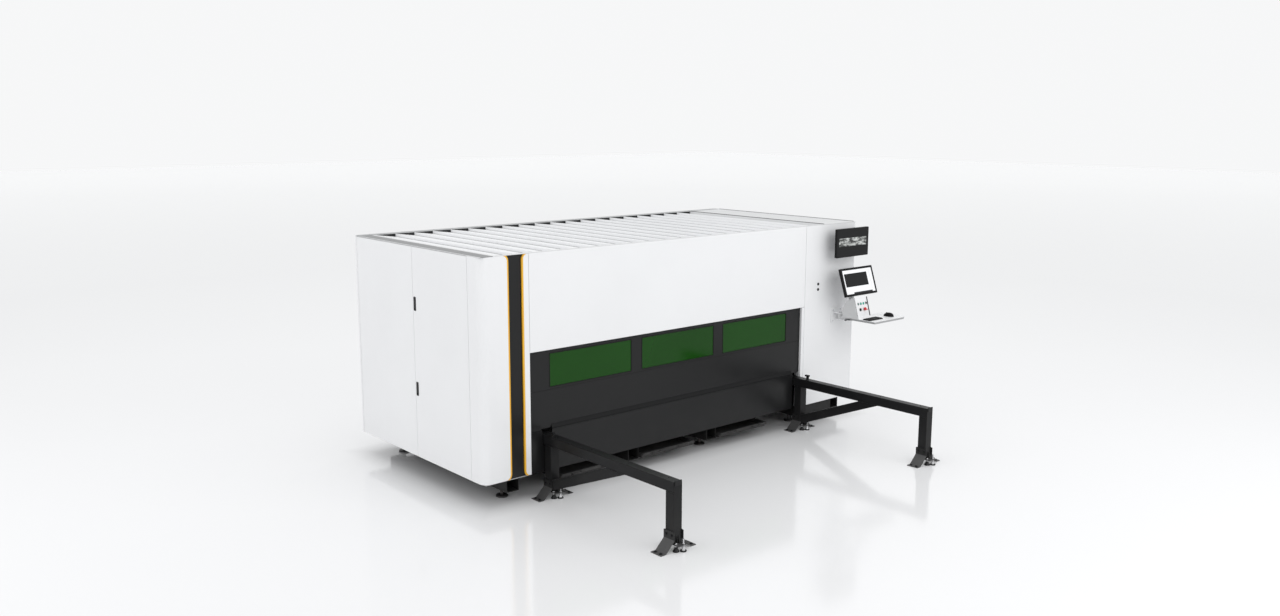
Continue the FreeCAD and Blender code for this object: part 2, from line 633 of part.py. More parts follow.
def make_roof():
    z1 = ENC_HEIGHT
    z0 = z1 - ROOF_SHEET
    hole = (X0 + RIM_LEFT, X1 - RIM_RIGHT, Y0 + RIM_FRONT, Y1 - RIM_REAR)
    ledge_z = z0 - BLADE_RISE - 8.0
    sheet = box(X0, X1, Y0, Y1, z0, z1).cut(box(*hole, z0 - 1, z1 + 1))
    throat = box(hole[0] - SHEET, hole[1] + SHEET, hole[2] - SHEET, hole[3] + SHEET, ledge_z, z0)
    throat = throat.cut(box(*hole, ledge_z - 1, z0 + 1))
    ledge = box(hole[0] - SHEET, hole[1] + SHEET, hole[2] - SHEET, hole[3] + SHEET,
                ledge_z - SHEET, ledge_z)
    ledge = ledge.cut(box(hole[0] + LEDGE, hole[1] - LEDGE, hole[2] + LEDGE, hole[3] - LEDGE,
                          ledge_z - SHEET - 1, ledge_z + 1))
    add("roof_rim", fuse([sheet, throat, ledge]))
    pitch = (hole[1] - hole[0] - 2 * SEAM - BLADE_LAP) / BLADE_COUNT
    tail = (BLADE_RISE - SHEET) * BLADE_LAP / (pitch + BLADE_LAP - SHEET)
    lip = ledge_z + SHEET + tail + SLIDE_GAP
    blades = []
    for k in range(BLADE_COUNT):
        xa = hole[0] + SEAM + k * pitch
        xb = xa + pitch + BLADE_LAP
        za = ledge_z + BLADE_RISE
        points = [(xa, ledge_z + 0.5), (xa + SHEET, ledge_z + 0.5), (xa + SHEET, za - SHEET),
                  (xb, ledge_z), (xb, ledge_z + SHEET), (xa + SHEET, za), (xa, za)]
        if k > 0:
            points = [(xa, lip), (xa + SHEET, lip),
                      (xa + SHEET, za - SHEET), (xb, ledge_z), (xb, ledge_z + SHEET),
                      (xa + SHEET, za), (xa, za)]
        blades.append(prism_y(points, hole[2] + SLIDE_GAP, hole[3] - SLIDE_GAP))
    add("roof_louvres", *blades)


def make_left_bay():
    """Wall between the left bay and the cutting room, with gaps for the rail beams."""
    x = OPEN_X0 - 14.0
    wall = box(x - SHEET, x, Y0 + FOLD + FRAME_OFFSET + FRAME_TUBE, Y1 - FOLD - FRAME_OFFSET
               - FRAME_TUBE, BASE_TOP, ENC_HEIGHT - 45.0 - FRAME_TUBE)
    half = RAIL_BEAM_W / 2 + SEAM
    for y in (-RAIL_BEAM_Y, RAIL_BEAM_Y):
        wall = wall.cut(box(x - 20, x + 20, y - half, y + half, RAIL_BEAM_Z0 - SEAM,
                            RAIL_BEAM_TOP + SEAM))
    add("bay_wall", wall)
    source = box(TUBE_PLACES[0] - 130.0, TUBE_PLACES[0] + 55.0, 120.0, 720.0, BASE_TOP, 920.0)
    source = rounded(source, 12.0, Z_AXIS)
    for k in range(9):
        z = 300.0 + 60.0 * k
        source = source.cut(box(TUBE_PLACES[0] - 131.0, TUBE_PLACES[0] - 122.0, 180.0, 660.0, z,
                                z + 18.0))
    add("laser_source", source)


def make_control_cabinet():
    """Control cabinet in the right bay: plinth, body and two door leaves in relief."""
    xa, xb = TUBE_PLACES[3] + 100.0, TUBE_PLACES[4] + 80.0
    body = box(xa, xb, -430.0, 430.0, BASE_TOP + 60.0, 1560.0)
    body = rounded(body, 8.0, Z_AXIS)
    plinth = box(xa + 20.0, xb - 20.0, -400.0, 400.0, BASE_TOP, BASE_TOP + 60.0)
    leaves = [box(xb, xb + 4.0, ya, ya + 400.0, BASE_TOP + 90.0, 1530.0) for ya in (-405.0, 5.0)]
    knob = rod(xb + 4.0, -20.0, 900.0, 14.0, 14.0, X_AXIS)
    add("control_cabinet", fuse([body, plinth] + leaves + [knob]))


# --------------------------------------------------------------------------- doors
def hinge_pin_place(rear):
    """Pin centre of a leaf: the front leaf hinges at the column, the rear at the back."""
    if rear:
        return X0 + HINGE_INSET, Y1 - FOLD - SEAM - HINGE_EDGE
    return X0 + HINGE_INSET, Y0 + COLUMN_SIDE + SEAM + HINGE_EDGE


def door_leaf(rear):
    px, py = hinge_pin_place(rear)
    if rear:
        ya, yb = DOOR_SPLIT + SEAM / 2, Y1 - FOLD - SEAM
        edge = yb
        turn = -1
    else:
        ya, yb = Y0 + COLUMN_SIDE + SEAM, DOOR_SPLIT - SEAM / 2
        edge = ya
        turn = 1
    leaf = pan(X0, X0 + FOLD, ya, yb, PANEL_Z0, PANEL_Z1 - SEAM, "+x")
    reach = KNUCKLE_L / 2 + LUG_T + 4.0
    knuckles = []
    for height in HINGE_HEIGHTS:
        notch = box(X0 + SHEET, X0 + FOLD + 1, edge - turn, edge + turn * (HINGE_EDGE + KNUCKLE_R
                    + 6.0), height - reach, height + reach)
        leaf = leaf.cut(notch)
        sleeve = rod(px, py, height - KNUCKLE_L / 2, KNUCKLE_R, KNUCKLE_L)
        web = box(X0 + SHEET / 2, px, py - KNUCKLE_R, py + KNUCKLE_R, height - KNUCKLE_L / 2,
                  height + KNUCKLE_L / 2)
        bore = rod(px, py, height - KNUCKLE_L, HINGE_PIN_R + FIT, 2 * KNUCKLE_L)
        knuckles.append(fuse([sleeve, web]).cut(bore))
    return fuse([leaf] + knuckles)


def door_hinges():
    """Fixed halves: at each height a pin held by two straps from a plate on the frame."""
    hinges = []
    plate_x = LEFT_FRAME - SHEET
    for rear in (False, True):
        px, py = hinge_pin_place(rear)
        side = 1 if rear else -1
        for height in HINGE_HEIGHTS:
            gap = KNUCKLE_L / 2 + SLIDE_GAP
            pin = rod(px, py, height - gap - LUG_T, HINGE_PIN_R, 2 * (gap + LUG_T))
            plate = box(plate_x, LEFT_FRAME, py - 7.0, py + 7.0, height - gap - LUG_T,
                        height + gap + LUG_T)
            straps = []
            for z in (height - gap - LUG_T, height + gap):
                straps.append(box(px, plate_x, py + side, py - side * HINGE_PIN_R, z, z + LUG_T))
            hinges.append(fuse([pin, plate] + straps))
    return hinges


def lock_place():
    """Middle of the lock housings along Y, on the front leaf beside the split."""
    return DOOR_SPLIT - SEAM / 2 - LOCK_W / 2 - LOCK_INSET


def make_doors():
    front = door_leaf(False)
    rear = door_leaf(True)
    yc = lock_place()
    for height in LOCK_HEIGHTS:
        front = front.cut(box(X0 - 5, X0 + 6, yc - LOCK_W / 2 + 4, yc + LOCK_W / 2 - 4,
                              height - LOCK_L / 2 + 4, height + LOCK_L / 2 - 4))
    add("front_door", front)
    add("rear_door", rear)
    add("door_hinges", *door_hinges())
    housings = []
    for name, height in zip(("lower_lock_handle", "upper_lock_handle"), LOCK_HEIGHTS):
        housings.append(lock_housing(yc, height))
        add(name, lock_paddle(yc, height))
    add("lock_housings", *housings)


def lock_housing(yc, height):
    """Flush lock: a flange on the door, a cup behind it, and bores for the paddle pin."""
    flange = box(X0 - LOCK_PROUD, X0, yc - LOCK_W / 2, yc + LOCK_W / 2, height - LOCK_L / 2,
                 height + LOCK_L / 2)
    flange = rounded(flange, 8.0, X_AXIS)
    cup = box(X0, X0 + 18.0, yc - LOCK_W / 2 + 4.3, yc + LOCK_W / 2 - 4.3, height - LOCK_L / 2 + 4.3,
              height + LOCK_L / 2 - 4.3)
    hollow = box(X0 - 10, X0 + 15.0, yc - PADDLE_W / 2 - 1.0, yc + PADDLE_W / 2 + 1.0,
                 height - PADDLE_L / 2 - 12.0, height + PADDLE_L / 2 + 4.0)
    pin_x, pin_z = paddle_pin(height)
    bore = rod(pin_x, yc - PADDLE_W / 2 - 5.0, pin_z, 2.0 + FIT, PADDLE_W + 10.0, Y_AXIS)
    return fuse([flange, cup]).cut(hollow).cut(bore)


def paddle_pin(height):
    return X0 + 2.0, height + PADDLE_L / 2 - 5.0


def lock_paddle(yc, height):
    pin_x, pin_z = paddle_pin(height)
    plate = box(X0 - LOCK_PROUD - 1.0, X0 - LOCK_PROUD - 1.0 + PADDLE_T, yc - PADDLE_W / 2,
                yc + PADDLE_W / 2, height - PADDLE_L / 2, height + PADDLE_L / 2)
    plate = rounded(plate, 3.0, Y_AXIS)
    key = rod(X0 - LOCK_PROUD - 1.0, yc, height - PADDLE_L / 2 + 14.0, 7.0, 2.0, X_AXIS)
    plate = plate.cut(key)
    pin = rod(pin_x, yc - PADDLE_W / 2 - 4.0, pin_z, 2.0, PADDLE_W + 8.0, Y_AXIS)
    return fuse([plate, pin])


# ----------------------------------------------------------------------- worktable
def wheel_places():
    """Centre of each wheel, with the side that its axle plate is on."""
    left = ARM_X[0] + ARM_TUBE - WHEEL_INSET - WHEEL_W / 2
    right = ARM_X[1] + WHEEL_INSET + WHEEL_W / 2
    return {"front_left_wheel": (left, FRONT_WHEEL_Y, -1), "front_right_wheel": (right, FRONT_WHEEL_Y, 1),
            "rear_left_wheel": (left, REAR_WHEEL_Y, -1), "rear_right_wheel": (right, REAR_WHEEL_Y, 1)}


def make_wheels():
    for name, (x, y, _side) in wheel_places().items():
        tyre = rod(x - WHEEL_W / 2, y, WHEEL_Z, WHEEL_R, WHEEL_W, X_AXIS)
        rim = [e for e in tyre.Edges if e.Curve.TypeId == "Part::GeomCircle"]
        tyre = tyre.makeChamfer(3.0, rim)
        for side in (-1, 1):
            groove = rod(x + side * WHEEL_W / 2, y, WHEEL_Z, WHEEL_R * 0.7, 5.0, X_AXIS * -side)
            hub = rod(x + side * WHEEL_W / 2, y, WHEEL_Z, AXLE_R * 1.7, 5.0, X_AXIS * -side)
            tyre = tyre.cut(groove.cut(hub))
        bore = rod(x - WHEEL_W, y, WHEEL_Z, AXLE_R + FIT, 2 * WHEEL_W, X_AXIS)
        add(name, tyre.cut(bore))


def axle_unit(x, y, side):
    """Axle plate on the side tube, with a stub axle through the wheel and an end washer."""
    face = x + side * (WHEEL_W / 2 + SLIDE_GAP)
    tube_face = TABLE_X0 + TABLE_TUBE_W if side < 0 else TABLE_X1 - TABLE_TUBE_W
    plate = box(face, tube_face, y - 35.0, y + 35.0, WHEEL_Z - 22.0, TABLE_Z0 + 70.0)
    end = x - side * (WHEEL_W / 2 + SLIDE_GAP)
    axle = rod(face, y, WHEEL_Z, AXLE_R, WHEEL_W + 2 * SLIDE_GAP, X_AXIS * -side)
    washer = rod(end, y, WHEEL_Z, AXLE_R * 1.5, 4.0, X_AXIS * -side)
    return fuse([plate, axle, washer])


def make_table():
    xa, xb = TABLE_X0 + TABLE_TUBE_W, TABLE_X1 - TABLE_TUBE_W
    tw = TABLE_TUBE_W
    solids = [tube(TABLE_X0, TABLE_X0 + tw, TABLE_FRONT, TABLE_REAR, TABLE_Z0, TABLE_Z1, "y", 4.0),
              tube(TABLE_X1 - tw, TABLE_X1, TABLE_FRONT, TABLE_REAR, TABLE_Z0, TABLE_Z1, "y", 4.0)]
    cw = TABLE_CROSS_W
    clear = 80.0
    for ya in (TABLE_FRONT, TABLE_REAR - cw):
        solids.append(tube(xa + clear, xb - clear, ya, ya + cw, TABLE_Z0, TABLE_Z1, "x", 4.0))
        for ex, ey in ((xa, xa + clear), (xb - clear, xb)):
            solids.append(box(ex, ey, ya, ya + 12.0, TABLE_Z0 + 70.0, TABLE_Z1))
    inner = (TABLE_FRONT + cw, TABLE_REAR - cw)
    for ya in (inner[0], inner[1] - LEDGE):
        solids.append(box(xa, xb, ya, ya + LEDGE, SLAT_Z0 - 10.0, SLAT_Z0))
    middle = (inner[0] + inner[1]) / 2
    solids.append(tube(xa, xb, middle - cw / 2, middle + cw / 2, TABLE_Z0, SLAT_Z0, "x", 4.0))
    solids.extend(axle_unit(*place) for place in wheel_places().values())
    add("table_frame", *solids)
    add("table_slats", *slats(xa, xb, inner))


def slats(xa, xb, span):
    """Saw-toothed slats across the table, evenly spread."""
    ya, yb = span[0] + SLIDE_GAP, span[1] - SLIDE_GAP
    teeth = int((yb - ya) / TOOTH_STEP)
    step = (yb - ya) / teeth
    outline = [(ya, SLAT_Z0), (ya, SLAT_TOP - TOOTH)]
    for k in range(teeth):
        outline.append((ya + (k + 0.5) * step, SLAT_TOP))
        outline.append((ya + (k + 1) * step, SLAT_TOP - TOOTH))
    outline.append((yb, SLAT_Z0))
    count = int((xb - xa) / SLAT_PITCH)
    pitch = (xb - xa) / count
    return [prism_x(outline, xa + (k + 0.5) * pitch, xa + (k + 0.5) * pitch + SLAT_T)
            for k in range(count)]


def window_spans():
    """Left and right edges of the three windows in the table's front panel."""
    panel = OPENING_WIDTH - 2 * SEAM
    margin = (panel - 3 * WINDOW_W - 2 * WINDOW_GAP) / 2
    first = OPEN_X0 + SEAM + margin
    return [(first + k * (WINDOW_W + WINDOW_GAP), first + k * (WINDOW_W + WINDOW_GAP) + WINDOW_W)
            for k in range(3)]


def make_table_front():
    top = HEADER_Z0 - FRONT_TOP_GAP
    bottom = SKIRT_Z1 + APRON_GAP
    panel = pan(OPEN_X0 + SEAM, OPEN_X1 - SEAM, FRONT_Y, FRONT_Y + FRONT_DEPTH, bottom, top, "+y")
    z1 = WINDOW_Z1
    z0 = z1 - WINDOW_H
    panes = []
    for xa, xb in window_spans():
        panel = panel.cut(box(xa, xb, FRONT_Y - 5, FRONT_Y + SHEET + 1, z0, z1))
        pane = box(xa - PANE_LAP, xb + PANE_LAP, FRONT_Y + SHEET, FRONT_Y + SHEET + PANE_T,
                   z0 - PANE_LAP, z1 + PANE_LAP)
        panes.append(pane)
    seam_z = z0 - 24.0
    groove = box(OPEN_X0, OPEN_X1, FRONT_Y - 1, FRONT_Y + 0.8, seam_z - 2.0, seam_z + 2.0)
    add("table_front", panel.cut(groove))
    add("window_panes", *panes)


# -------------------------------------------------------------------------- gantry
def bearing_block(x, y, z, along):
    """Saddle block astride a rail, with the running gap all round."""
    g = SLIDE_GAP
    if along == "x":
        block = box(x - BLOCK_L / 2, x + BLOCK_L / 2, y - BLOCK_W / 2, y + BLOCK_W / 2,
                    z + 6.0, z + BLOCK_H)
        return block.cut(box(x - BLOCK_L, x + BLOCK_L, y - RAIL_W / 2 - g, y + RAIL_W / 2 + g,
                             z, z + RAIL_H + g))
    block = box(x + 4.0, x + Y_RAIL + 10.0, y - 32.0, y + 32.0, z - 24.0, z + 24.0)
    return block.cut(box(x, x + Y_RAIL + g, y - 40.0, y + 40.0, z - Y_RAIL / 2 - g,
                         z + Y_RAIL / 2 + g))


def y_rail_heights():
    return GANTRY_Z0 + 40.0, GANTRY_Z0 + GANTRY_H - 40.0


def make_rail_beams():
    xa = LEFT_POST_X - TUBE_W / 2
    xb = RIGHT_POST_X + TUBE_W / 2
    half = RAIL_BEAM_W / 2
    beams, rails = [], []
    for y in (-RAIL_BEAM_Y, RAIL_BEAM_Y):
        beams.append(tube(xa, xb, y - half, y + half, RAIL_BEAM_Z0, RAIL_BEAM_TOP, "x", TUBE_WALL))
        rails.append(box(GANTRY_PARK - TRUCK_BACK - 8.0, RIGHT_POST_X - 100.0, y - RAIL_W / 2,
                         y + RAIL_W / 2, RAIL_BEAM_TOP, RAIL_TOP))
    add("rail_beams", *beams)
    add("gantry_rails", *rails)


def make_gantry():
    x = GANTRY_PARK
    reach = RAIL_BEAM_Y + BLOCK_W / 2 + 10.0
    beam = tube(x - GANTRY_W / 2, x + GANTRY_W / 2, -reach, reach, GANTRY_Z0, GANTRY_Z0 + GANTRY_H,
                "y", GANTRY_WALL)
    rails = []
    face = x + GANTRY_W / 2
    for z in y_rail_heights():
        rails.append(box(face, face + Y_RAIL, -reach + 20, reach - 20, z - Y_RAIL / 2,
                         z + Y_RAIL / 2))
    add("gantry_beam", beam)
    add("cross_rails", *rails)
    trucks, motors = [], []
    for y in (-RAIL_BEAM_Y, RAIL_BEAM_Y):
        inward = 1 if y < 0 else -1
        plate = box(x - TRUCK_BACK, x + TRUCK_FRONT, y - inward * 50.0, y + inward * 130.0, TRUCK_Z0,
                    TRUCK_Z0 + TRUCK_T)
        blocks = [bearing_block(bx, y, RAIL_BEAM_TOP, "x")
                  for bx in (x - TRUCK_BACK + BLOCK_L / 2, x + TRUCK_FRONT - BLOCK_L / 2)]
        trucks.append(fuse([plate] + blocks))
        mx = x - GANTRY_W / 2 - 5.0 - MOTOR_W / 2
        motors.append(servo_motor(mx, y + inward * 84.0, GANTRY_Z0))
    add("gantry_trucks", *trucks)
    add("gantry_motors", *motors)


def servo_motor(x, y, z):
    """Upright servo motor: flange, gearbox, body with ribs and a connector."""
    half = MOTOR_W / 2
    flange = box(x - half, x + half, y - half, y + half, z, z + 14.0)
    gearbox = rod(x, y, z + 14.0, half * 0.92, 60.0)
    body = rounded(box(x - half * 0.86, x + half * 0.86, y - half * 0.86, y + half * 0.86, z + 74.0,
                       z + MOTOR_H), 6.0, Z_AXIS)
    plug = box(x - 12.0, x + 12.0, y - half * 0.6, y + half * 0.6, z + MOTOR_H, z + MOTOR_H + 16.0)
    return fuse([flange, gearbox, body, plug])


def make_cutting_head():
    """Carriage on the cross rails, and the head that slides up and down on it."""
    face = GANTRY_PARK + GANTRY_W / 2
    plate_x = face + Y_RAIL + 10.0
    half = CARRIAGE_W / 2
    plate = box(plate_x, plate_x + CARRIAGE_T, -half, half, GANTRY_Z0 - 20.0,
                GANTRY_Z0 + GANTRY_H + 20.0)
    blocks = [bearing_block(face, y, z, "y") for y in (-half + 32.0, half - 32.0)
              for z in y_rail_heights()]
    guide = box(plate_x + CARRIAGE_T, plate_x + CARRIAGE_T + 12.0, -14.0, 14.0, GANTRY_Z0 - 20.0,
                GANTRY_Z0 + GANTRY_H + 20.0)
    motor = servo_motor(plate_x + CARRIAGE_T + 40.0, 0.0, GANTRY_Z0 + GANTRY_H + 30.0)
    shelf = box(plate_x, plate_x + CARRIAGE_T + 80.0, -45.0, 45.0, GANTRY_Z0 + GANTRY_H + 20.0,
                GANTRY_Z0 + GANTRY_H + 30.0)
    add("head_carriage", fuse([plate, guide, shelf, motor] + blocks))
    x = plate_x + CARRIAGE_T + 12.0 + SLIDE_GAP
    head = box(x, x + HEAD_W, -HEAD_W / 2, HEAD_W / 2, GANTRY_Z0 - 90.0, GANTRY_Z0 + 70.0)
    head = rounded(head, 10.0, Z_AXIS)
    nozzle_z = SLAT_TOP + NOZZLE_CLEAR
    axis_x = x + HEAD_W / 2
    barrel = rod(axis_x, 0, nozzle_z + 60.0, 26.0, GANTRY_Z0 - 90.0 - nozzle_z - 60.0)
    ring = rod(axis_x, 0, nozzle_z + 36.0, 32.0, 24.0)
    tip = Part.makeCone(3.0, 20.0, 36.0, vec(axis_x, 0, nozzle_z))
    collimator = rod(axis_x, 0, GANTRY_Z0 + 70.0, 22.0, 70.0)
    orifice = rod(axis_x, 0, nozzle_z - 1.0, 1.2, 20.0)
    add("cutting_head", fuse([head, barrel, ring, tip, collimator]).cut(orifice))


# ------------------------------------------------------------- console and monitors
def housing_left():
    return CONSOLE_X + HOUSING_SHIFT - HOUSING_W / 2


def slope_frame():
    """Angle of the console's sloping face, and its lower front corner (y, z)."""
    low_y = Y0 - 335.0
    high_y = Y0 - LOWER_BOTTOM_OUT - 3.0
    angle = math.degrees(math.atan((high_y - low_y) / (HOUSING_TOP - SHELF_TOP)))
    return angle, low_y


def on_slope(x, z, depth):
    """A point at a height on the sloping face, depth mm out of it."""
    angle, low_y = slope_frame()
    y = low_y + (z - SHELF_TOP) * math.tan(math.radians(angle))
    out = vec(0, -math.cos(math.radians(angle)), math.sin(math.radians(angle)))
    return vec(x, y, z) + out * depth, out


def button_places():
    """X and Z of the four push buttons, left to right."""
    return [(housing_left() + HOUSING_W * share, 1222.0) for share in (0.21, 0.41, 0.61, 0.81)]


def key_place():
    return housing_left() + HOUSING_W * 0.30, 1166.0


def estop_place():
    return housing_left() + HOUSING_W * 0.60, 1166.0


def pivot_arm():
    """Wall pivot of the console arm."""
    return CONSOLE_X - 45.0, Y0 - 61.0


def pivot_console():
    """Pivot between the arm and the console."""
    return CONSOLE_X - 40.0, Y0 - 186.0


def console_bracket():
    px, py = pivot_arm()
    plate = box(px - 78.0, px + 78.0, Y0 - 8.0, Y0, 1000.0, 1148.0)
    plate = rounded(plate, 6.0, Y_AXIS)
    cheeks = [box(px - 30.0, px + 30.0, py, Y0 - 8.0, z, z + 10.0) for z in (1030.0, 1095.0)]
    ears = [rod(px, py, z, 30.0, 10.0) for z in (1030.0, 1095.0)]
    pin = rod(px, py, 1030.0, 12.0, 75.0)
    bolts = [rod(px + sx * 60.0, Y0 - 8.0, z, 8.0, 6.0, Y_AXIS * -1)
             for sx in (-1, 1) for z in (1020.0, 1128.0)]
    return fuse([plate, pin] + cheeks + ears + bolts)


def make_console_arm():
    ax, ay = pivot_arm()
    cx, cy = pivot_console()
    g = SLIDE_GAP
    z0, z1 = 1040.0 + g, 1095.0 - g
    knuckle = rod(ax, ay, z0, 28.0, z1 - z0)
    top = SHELF_TOP - SHEET - g
    body = box(ax - 22.0, ax + 22.0, cy, ay, z0, top)
    hub = rod(cx, cy, z0, 28.0, top - z0)
    arm = fuse([knuckle, body, hub])
    arm = arm.cut(rod(ax, ay, z0 - 1, 12.0 + FIT, 80.0))
    arm = arm.cut(rod(cx, cy, z0 - 1, 12.0 + FIT, 80.0))
    add("console_arm", arm)


def housing_outline(t):
    """Side outline of the console housing, t mm inside its sheet."""
    angle, low_y = slope_frame()
    high_y = Y0 - LOWER_BOTTOM_OUT - 3.0
    slope_in = t / math.cos(math.radians(angle))
    return [(low_y + slope_in + t / 2, SHELF_TOP + t), (high_y + slope_in, HOUSING_TOP - 1.5 * t),
            (high_y + 90.0 - t, HOUSING_TOP - 42.0 - t), (Y0 - 136.0 - t, 1170.0 - t),
            (Y0 - 136.0 - t, SHELF_TOP + t)]


def make_console():
    xa = housing_left()
    xb = xa + HOUSING_W
    t = SHEET
    shell = prism_x(housing_outline(0), xa, xb).cut(prism_x(housing_outline(t), xa + t, xb - t))
    for x, z in button_places():
        shell = shell.cut(face_rod(x, z, -10.0, 20.0, BUTTON_R + SLIDE_GAP))
    for x, z in (key_place(), estop_place()):
        shell = shell.cut(face_rod(x, z, -10.0, 20.0, 8.0 + SLIDE_GAP))
    cx, cy = pivot_console()
    ty, tz = tilt_pin()
    base = box(xa, xb, Y0 - 220.0, Y0 - 136.0, SHELF_TOP - SHEET, SHELF_TOP)
    pin = rod(cx, cy, 1044.0, 12.0, SHELF_TOP - SHEET - 1044.0)
    neck = box(CONSOLE_X - 38.0, CONSOLE_X + 38.0, ty + 12.0, ty + 22.0, 1160.0, tz + 10.0)
    foot = box(CONSOLE_X - 38.0, CONSOLE_X + 38.0, Y0 - 138.0, ty + 22.0, 1140.0, 1162.0)
    ears = [box(x, x + 8.0, ty - 10.0, ty + 22.0, tz - 12.0, tz + 10.0)
            for x in (CONSOLE_X - 38.0, CONSOLE_X + 30.0)]
    shell = fuse([shell, base, pin, neck, foot] + ears)
    shell = shell.cut(rod(CONSOLE_X - 50.0, ty, tz, 5.0 + FIT, 100.0, X_AXIS))
    add("console_housing", shell)
    left = CONSOLE_X - SHELF_LEFT
    right = left + SHELF_W
    shelf = box(left, right, Y0 - 221.0 - SHELF_D, Y0 - 221.0, SHELF_TOP - SHELF_T, SHELF_TOP)
    shelf = rounded(shelf, SHELF_R, Z_AXIS, lambda p: p.x > right - 1)
    shelf = rounded(shelf, 12.0, Z_AXIS, lambda p: p.x < left + 1)
    under = [f for f in shelf.Faces if abs(f.CenterOfMass.z - (SHELF_TOP - SHELF_T)) < 1e-6]
    add("keyboard_shelf", shelf.makeThickness(under, -SHEET, 1e-3))


def face_rod(x, z, start, length, r):
    """Round bar square to the console's sloping face."""
    point, out = on_slope(x, z, start)
    return Part.makeCylinder(r, length, point, out)


def make_controls():
    for k, (x, z) in enumerate(button_places()):
        cap = face_rod(x, z, -14.0, 14.0 + BUTTON_OUT, BUTTON_R)
        collar = face_rod(x, z, -14.0, 4.0, BUTTON_R + 3.0)
        add("push_button_%d" % (k + 1), fuse([cap, collar]))
    x, z = estop_place()
    stem = face_rod(x, z, -16.0, 24.0, 8.0)
    head = face_rod(x, z, 8.0, 12.0, ESTOP_R)
    head = head.makeFillet(3.0, [e for e in head.Edges if e.Curve.TypeId == "Part::GeomCircle"])
    collar = face_rod(x, z, -16.0, 4.0, 12.0)
    add("emergency_stop", fuse([stem, head, collar]))
    x, z = key_place()
    point, out = on_slope(x, z, 3.0)
    stem = face_rod(x, z, -12.0, 15.0, 8.0)
    disc = face_rod(x, z, SLIDE_GAP, 5.0, 13.0)
    grip = box(-3.0, 3.0, -11.0, 11.0, 0, 12.0)
    angle, _low = slope_frame()
    grip.rotate(vec(0, 0, 0), X_AXIS, 90.0 - angle)
    grip.translate(point)
    collar = face_rod(x, z, -12.0, 4.0, 12.0)
    add("mode_switch", fuse([stem, disc, grip, collar]))


def make_desk_items():
    left = CONSOLE_X - SHELF_LEFT + 10.0
    y0 = Y0 - 462.0
    keyboard = box(left, left + 268.0, y0, y0 + 106.0, SHELF_TOP, SHELF_TOP + 9.0)
    keyboard = rounded(keyboard, 6.0, Z_AXIS)
    keys = []
    rows, columns = 5, 14
    pitch_x, pitch_y = 254.0 / columns, 96.0 / rows
    for row in range(rows):
        for column in range(columns):
            kx = left + 7.0 + column * pitch_x
            ky = y0 + 5.0 + row * pitch_y
            keys.append(box(kx + 1.2, kx + pitch_x - 1.2, ky + 1.2, ky + pitch_y - 1.2,
                            SHELF_TOP + 9.0, SHELF_TOP + 13.0))
    add("keyboard", Part.makeCompound([keyboard.fuse(keys)]))
    mx, my = left + 372.0, Y0 - 408.0
    half_w, half_l = MOUSE_W / 2, MOUSE_L / 2
    shell = rounded(box(mx - half_w, mx + half_w, my - half_l, my + half_l, SHELF_TOP,
                        SHELF_TOP + MOUSE_H), half_w - 4.0, Z_AXIS)
    top = [e for e in shell.Edges if e.BoundBox.ZMin > SHELF_TOP + MOUSE_H - 1.0]
    add("mouse", shell.makeFillet(20.0, top))


def monitor_body(centre_x, bottom_z, face_y):
    """Upright flat monitor: a tray-shaped case with a recessed screen and a back box."""
    xa, xb = centre_x - MONITOR_W / 2, centre_x + MONITOR_W / 2
    case = box(xa, xb, face_y, face_y + MONITOR_T, bottom_z, bottom_z + MONITOR_H)
    case = rounded(case, 8.0, Y_AXIS)
    recess = box(xa + BEZEL, xb - BEZEL, face_y - 1, face_y + 1.5, bottom_z + BEZEL,
                 bottom_z + MONITOR_H - BEZEL)
    case = case.cut(recess)
    mid = bottom_z + MONITOR_H / 2
    back = box(centre_x - 120.0, centre_x + 120.0, face_y + MONITOR_T, face_y + MONITOR_T + 10.0,
               mid - 75.0, mid + 75.0)
    return fuse([case, rounded(back, 10.0, Y_AXIS)])


def tilt_pin():
    """Tilt axis of the lower monitor (y, z)."""
    return Y0 - LOWER_BOTTOM_OUT + 99.0, 1424.0


def make_monitors():
    face_y = Y0 - UPPER_FACE
    mid = UPPER_BOTTOM + MONITOR_H / 2
    upper = monitor_body(CONSOLE_X, UPPER_BOTTOM, face_y)
    swivel_y = face_y + MONITOR_T + 40.0
    sleeve = rod(CONSOLE_X, swivel_y, mid - 30.0, 14.0, 60.0)
    web = box(CONSOLE_X - 10.0, CONSOLE_X + 10.0, face_y + MONITOR_T + 10.0, swivel_y, mid - 30.0,
              mid + 30.0)
    upper = fuse([upper, sleeve, web]).cut(rod(CONSOLE_X, swivel_y, mid - 40.0, 8.0 + FIT, 80.0))
    add("upper_monitor", upper)
    plate = rounded(box(CONSOLE_X - 60.0, CONSOLE_X + 60.0, Y0 - 5.0, Y0, mid - 60.0, mid + 60.0), 6.0,
                    Y_AXIS)
    pin = rod(CONSOLE_X, swivel_y, mid - 30.0 - SLIDE_GAP - 8.0, 8.0, 76.0 + 2 * SLIDE_GAP)
    forks = [box(CONSOLE_X - 14.0, CONSOLE_X + 14.0, swivel_y - 10.0, Y0 - 5.0, z, z + 8.0)
             for z in (mid - 38.0 - SLIDE_GAP, mid + 30.0 + SLIDE_GAP)]
    add("wall_brackets", console_bracket(), fuse([plate, pin] + forks))
    low_face = Y0 - LOWER_BOTTOM_OUT
    lower = monitor_body(CONSOLE_X + LOWER_SHIFT, LOWER_BOTTOM_Z, low_face)
    lower.rotate(vec(CONSOLE_X, low_face, LOWER_BOTTOM_Z), X_AXIS, -LOWER_TILT)
    ty, tz = tilt_pin()
    pin = rod(CONSOLE_X - 38.0, ty, tz, 5.0, 76.0, X_AXIS)
    lug = box(CONSOLE_X - 29.0, CONSOLE_X + 29.0, ty - 30.0, ty + 6.0, tz - 9.0, tz + 6.0)
    add("lower_monitor", fuse([lower, lug, pin]))


